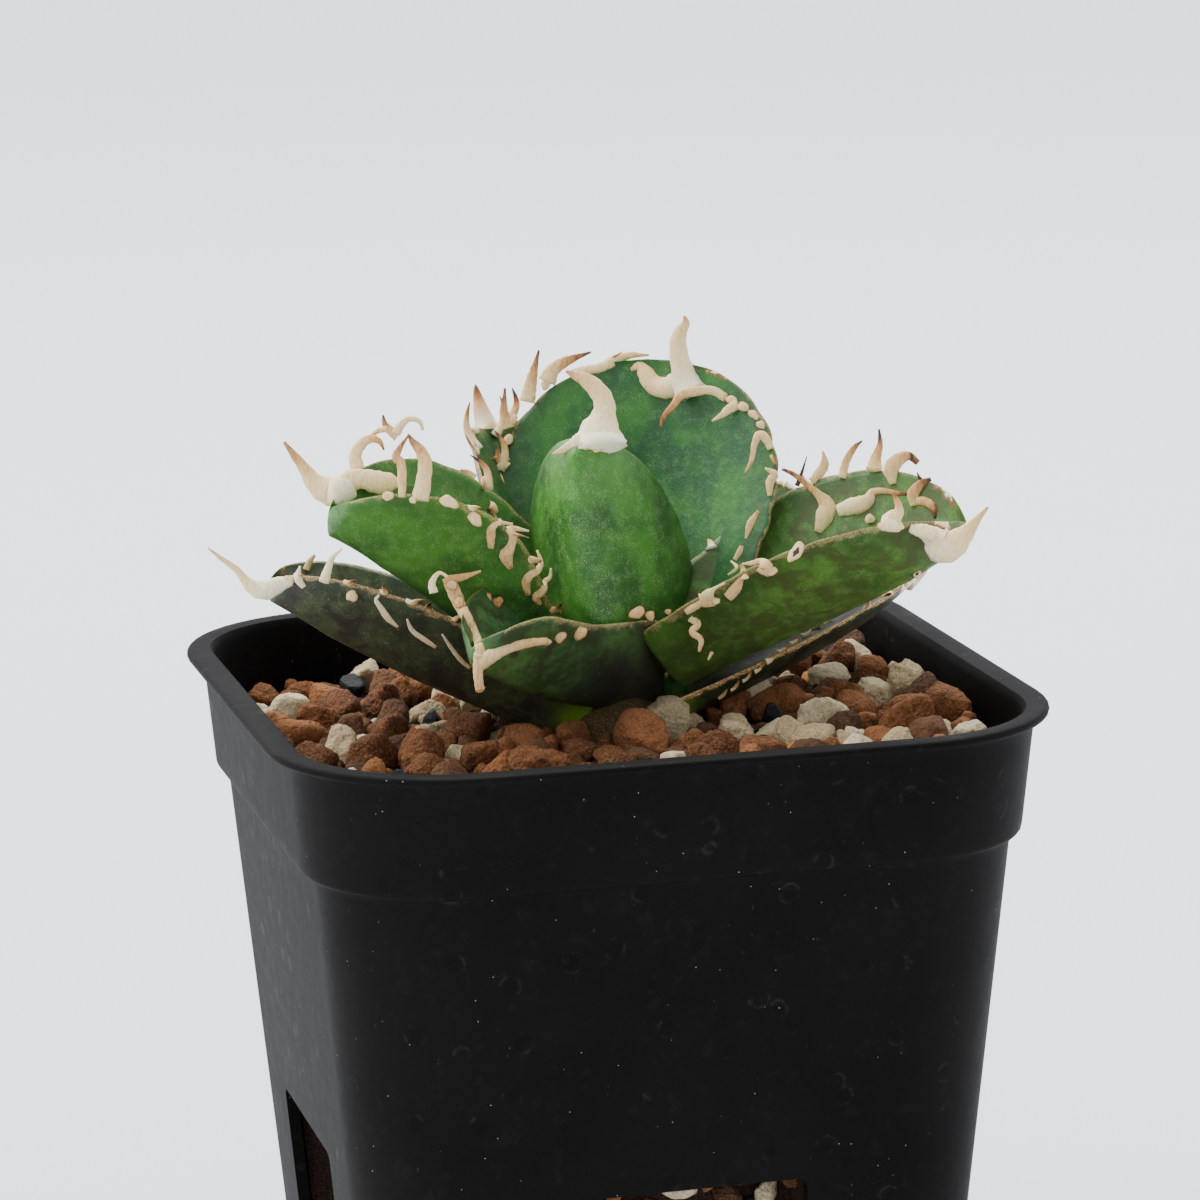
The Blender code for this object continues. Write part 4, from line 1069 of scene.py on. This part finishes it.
def build_pot():
    step, wall, floor = 62.8, 1.2, 1.5
    rings = [rounded_square(body_half(0) - 0.6, body_corner(0) - 0.6, 0.0)]
    for k in range(4):
        a = math.radians(30 * k)
        rings.append(rounded_square(body_half(0.6) - 0.6 + 0.6 * math.sin(a), body_corner(0) - 0.6 + 0.6 * math.sin(a), 0.6 - 0.6 * math.cos(a)))
    for k in range(1, 24):
        z = 0.8 + (step - 1.6) * k / 23
        rings.append(rounded_square(body_half(z), body_corner(z), z))
    # the step out to the collar, with soft inner and outer corners
    rings.append(rounded_square(body_half(step) + 0.05, body_corner(step), step - 0.30))
    rings.append(rounded_square(body_half(step) + 0.25, body_corner(step) + 0.2, step - 0.05))
    rings.append(rounded_square(34.70, 13.5, step + 0.02))
    rings.append(rounded_square(34.98, 13.9, step + 0.10))
    rings.append(rounded_square(35.18, 14.2, step + 0.32))
    for k in range(10):
        z = step + 0.6 + (74.1 - step - 1.2) * k / 9
        rings.append(rounded_square(35.2 + (z - step) / 12.2, 14.3, z))
    rings.append(rounded_square(36.25, 14.5, 73.85))
    rings.append(rounded_square(36.50, 15.2, 74.05))
    rings.append(rounded_square(37.50, 17.1, 74.14))
    for k in range(7):
        a = math.radians(-90 + 30 * k)
        rings.append(rounded_square(37.57 + 0.40 * math.cos(a), 17.2 + 0.4 * math.cos(a), 74.57 + 0.43 * math.sin(a)))
    rings.append(rounded_square(36.4, 15.2, 75.0))
    rings.append(rounded_square(35.45, 14.0, 74.93))
    rings.append(rounded_square(35.10, 13.3, 74.6))
    for k in range(6):
        z = 74.0 - (74.0 - step - wall) * k / 5
        rings.append(rounded_square(35.2 + (z - step) / 12.2 - wall, 13.1, z))
    rings.append(rounded_square(body_half(step) - wall, body_corner(step) - wall, step))
    for k in range(1, 8):
        z = step - (step - floor) * k / 7
        rings.append(rounded_square(body_half(z) - wall, body_corner(z) - wall, z))
    verts = np.array([p for ring in rings for p in ring])
    obj = outward(add_mesh("pot_shell", verts, ring_faces(len(rings), len(rings[0])), PLASTIC))
    cutters = []
    for axis in (0, 1):
        lo, hi = [-50.0, -50.0], [50.0, 50.0]
        lo[1 - axis], hi[1 - axis] = -11.0, 11.0
        cutters.append(rounded_box([*lo, 7.0], [*hi, 31.7], axis))
    for sx, sy in ((1, 1), (-1, 1), (-1, -1), (1, -1)):
        ring = [(sx * 15 + 2.5 * math.cos(math.tau * k / 28), sy * 15 + 2.5 * math.sin(math.tau * k / 28)) for k in range(28)]
        verts = np.array([(x, y, z) for z in (-2.0, 4.0) for x, y in ring])
        cutters.append(outward(add_mesh("cut_hole", verts, ring_faces(2, 28), PLASTIC)))
    for cutter in cutters:
        mod = obj.modifiers.new("cut", "BOOLEAN")
        mod.operation, mod.solver, mod.object = "DIFFERENCE", "MANIFOLD", cutter
    bpy.context.view_layer.update()
    made = bpy.data.meshes.new_from_object(obj.evaluated_get(bpy.context.evaluated_depsgraph_get()))
    obj.modifiers.clear()
    obj.data = made
    for cutter in cutters:
        bpy.data.objects.remove(cutter, do_unlink=True)
    made.shade_smooth()
    made.set_sharp_from_angle(angle=math.radians(38))
    return obj


def rounded_box(lo, hi, axis, r=1.0):
    """A long bar with rounded corners, along x (axis 0) or y (axis 1)."""
    a0, a1 = (lo[1], hi[1]) if axis == 0 else (lo[0], hi[0])
    z0, z1 = lo[2], hi[2]
    ring = []
    for quarter, (ca, cz) in enumerate(((a1 - r, z1 - r), (a0 + r, z1 - r), (a0 + r, z0 + r), (a1 - r, z0 + r))):
        for k in range(6):
            g = math.radians(90 * quarter + 18 * k)
            ring.append((ca + r * math.cos(g), cz + r * math.sin(g)))
    verts = []
    for end in (-50.0, 50.0):
        verts += [(end, a, z) if axis == 0 else (a, end, z) for a, z in ring]
    return outward(add_mesh("cut_bar", np.array(verts), ring_faces(2, len(ring)), PLASTIC))


pot = build_pot()
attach(pot, "root")
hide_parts("nursery_pot")


# -------------------------------------------------------- floor and lighting
floor_nodes = Nodes("floor")
paper = floor_nodes.noise(0.02, 2.0)
floor_mat = floor_nodes.finish(floor_nodes.mix(paper, srgb(232, 235, 240), srgb(234, 237, 242)), 0.9, specular=0.1)
bm = bmesh.new()
bmesh.ops.create_grid(bm, x_segments=2, y_segments=2, size=8.0)
mesh = bpy.data.meshes.new("floor")
bm.to_mesh(mesh)
bm.free()
mesh.materials.append(floor_mat)
floor = bpy.data.objects.new("floor", mesh)
bpy.context.scene.collection.objects.link(floor)

world = bpy.data.worlds.new("studio")
bpy.context.scene.world = world
world.use_nodes = True
wt = world.node_tree
sky = wt.nodes["Background"]
wcoord = wt.nodes.new("ShaderNodeTexCoord")
wsplit = wt.nodes.new("ShaderNodeSeparateXYZ")
wramp = wt.nodes.new("ShaderNodeMapRange")
wramp.interpolation_type = "SMOOTHSTEP"
wramp.inputs["From Min"].default_value = -0.9
wramp.inputs["From Max"].default_value = 0.5
wramp.inputs["To Min"].default_value = 1.0
wramp.inputs["To Max"].default_value = 2.0
wt.links.new(wcoord.outputs["Generated"], wsplit.inputs["Vector"])
wt.links.new(wsplit.outputs["Y"], wramp.inputs["Value"])
wt.links.new(wramp.outputs["Result"], sky.inputs["Strength"])
sky.inputs["Color"].default_value = (0.92, 0.95, 1.0, 1.0)


def sun(name, direction, power, degrees, colour=(1, 1, 1)):
    light = bpy.data.lights.new(name, "SUN")
    light.energy = power
    light.angle = math.radians(degrees)
    light.color = colour
    obj = bpy.data.objects.new(name, light)
    obj.rotation_euler = Vector(direction).to_track_quat("-Z", "Y").to_euler()
    obj.location = (0, 0, 1)
    bpy.context.scene.collection.objects.link(obj)
    return obj


def area(name, place, target, size, power, colour=(1, 1, 1)):
    light = bpy.data.lights.new(name, "AREA")
    light.shape = "RECTANGLE"
    light.size, light.size_y = size
    light.energy = power
    light.color = colour
    obj = bpy.data.objects.new(name, light)
    obj.location = place
    obj.rotation_euler = (Vector(target) - Vector(place)).to_track_quat("-Z", "Y").to_euler()
    bpy.context.scene.collection.objects.link(obj)
    return obj


sun("soft_key", (0.75, -0.35, -1.0), 3.5, 50, (1.0, 0.985, 0.96))
area("top_back", (0.15, 0.55, 0.9), (0, 0, 0.08), (0.8, 0.5), 7, (1.0, 1.0, 1.0))
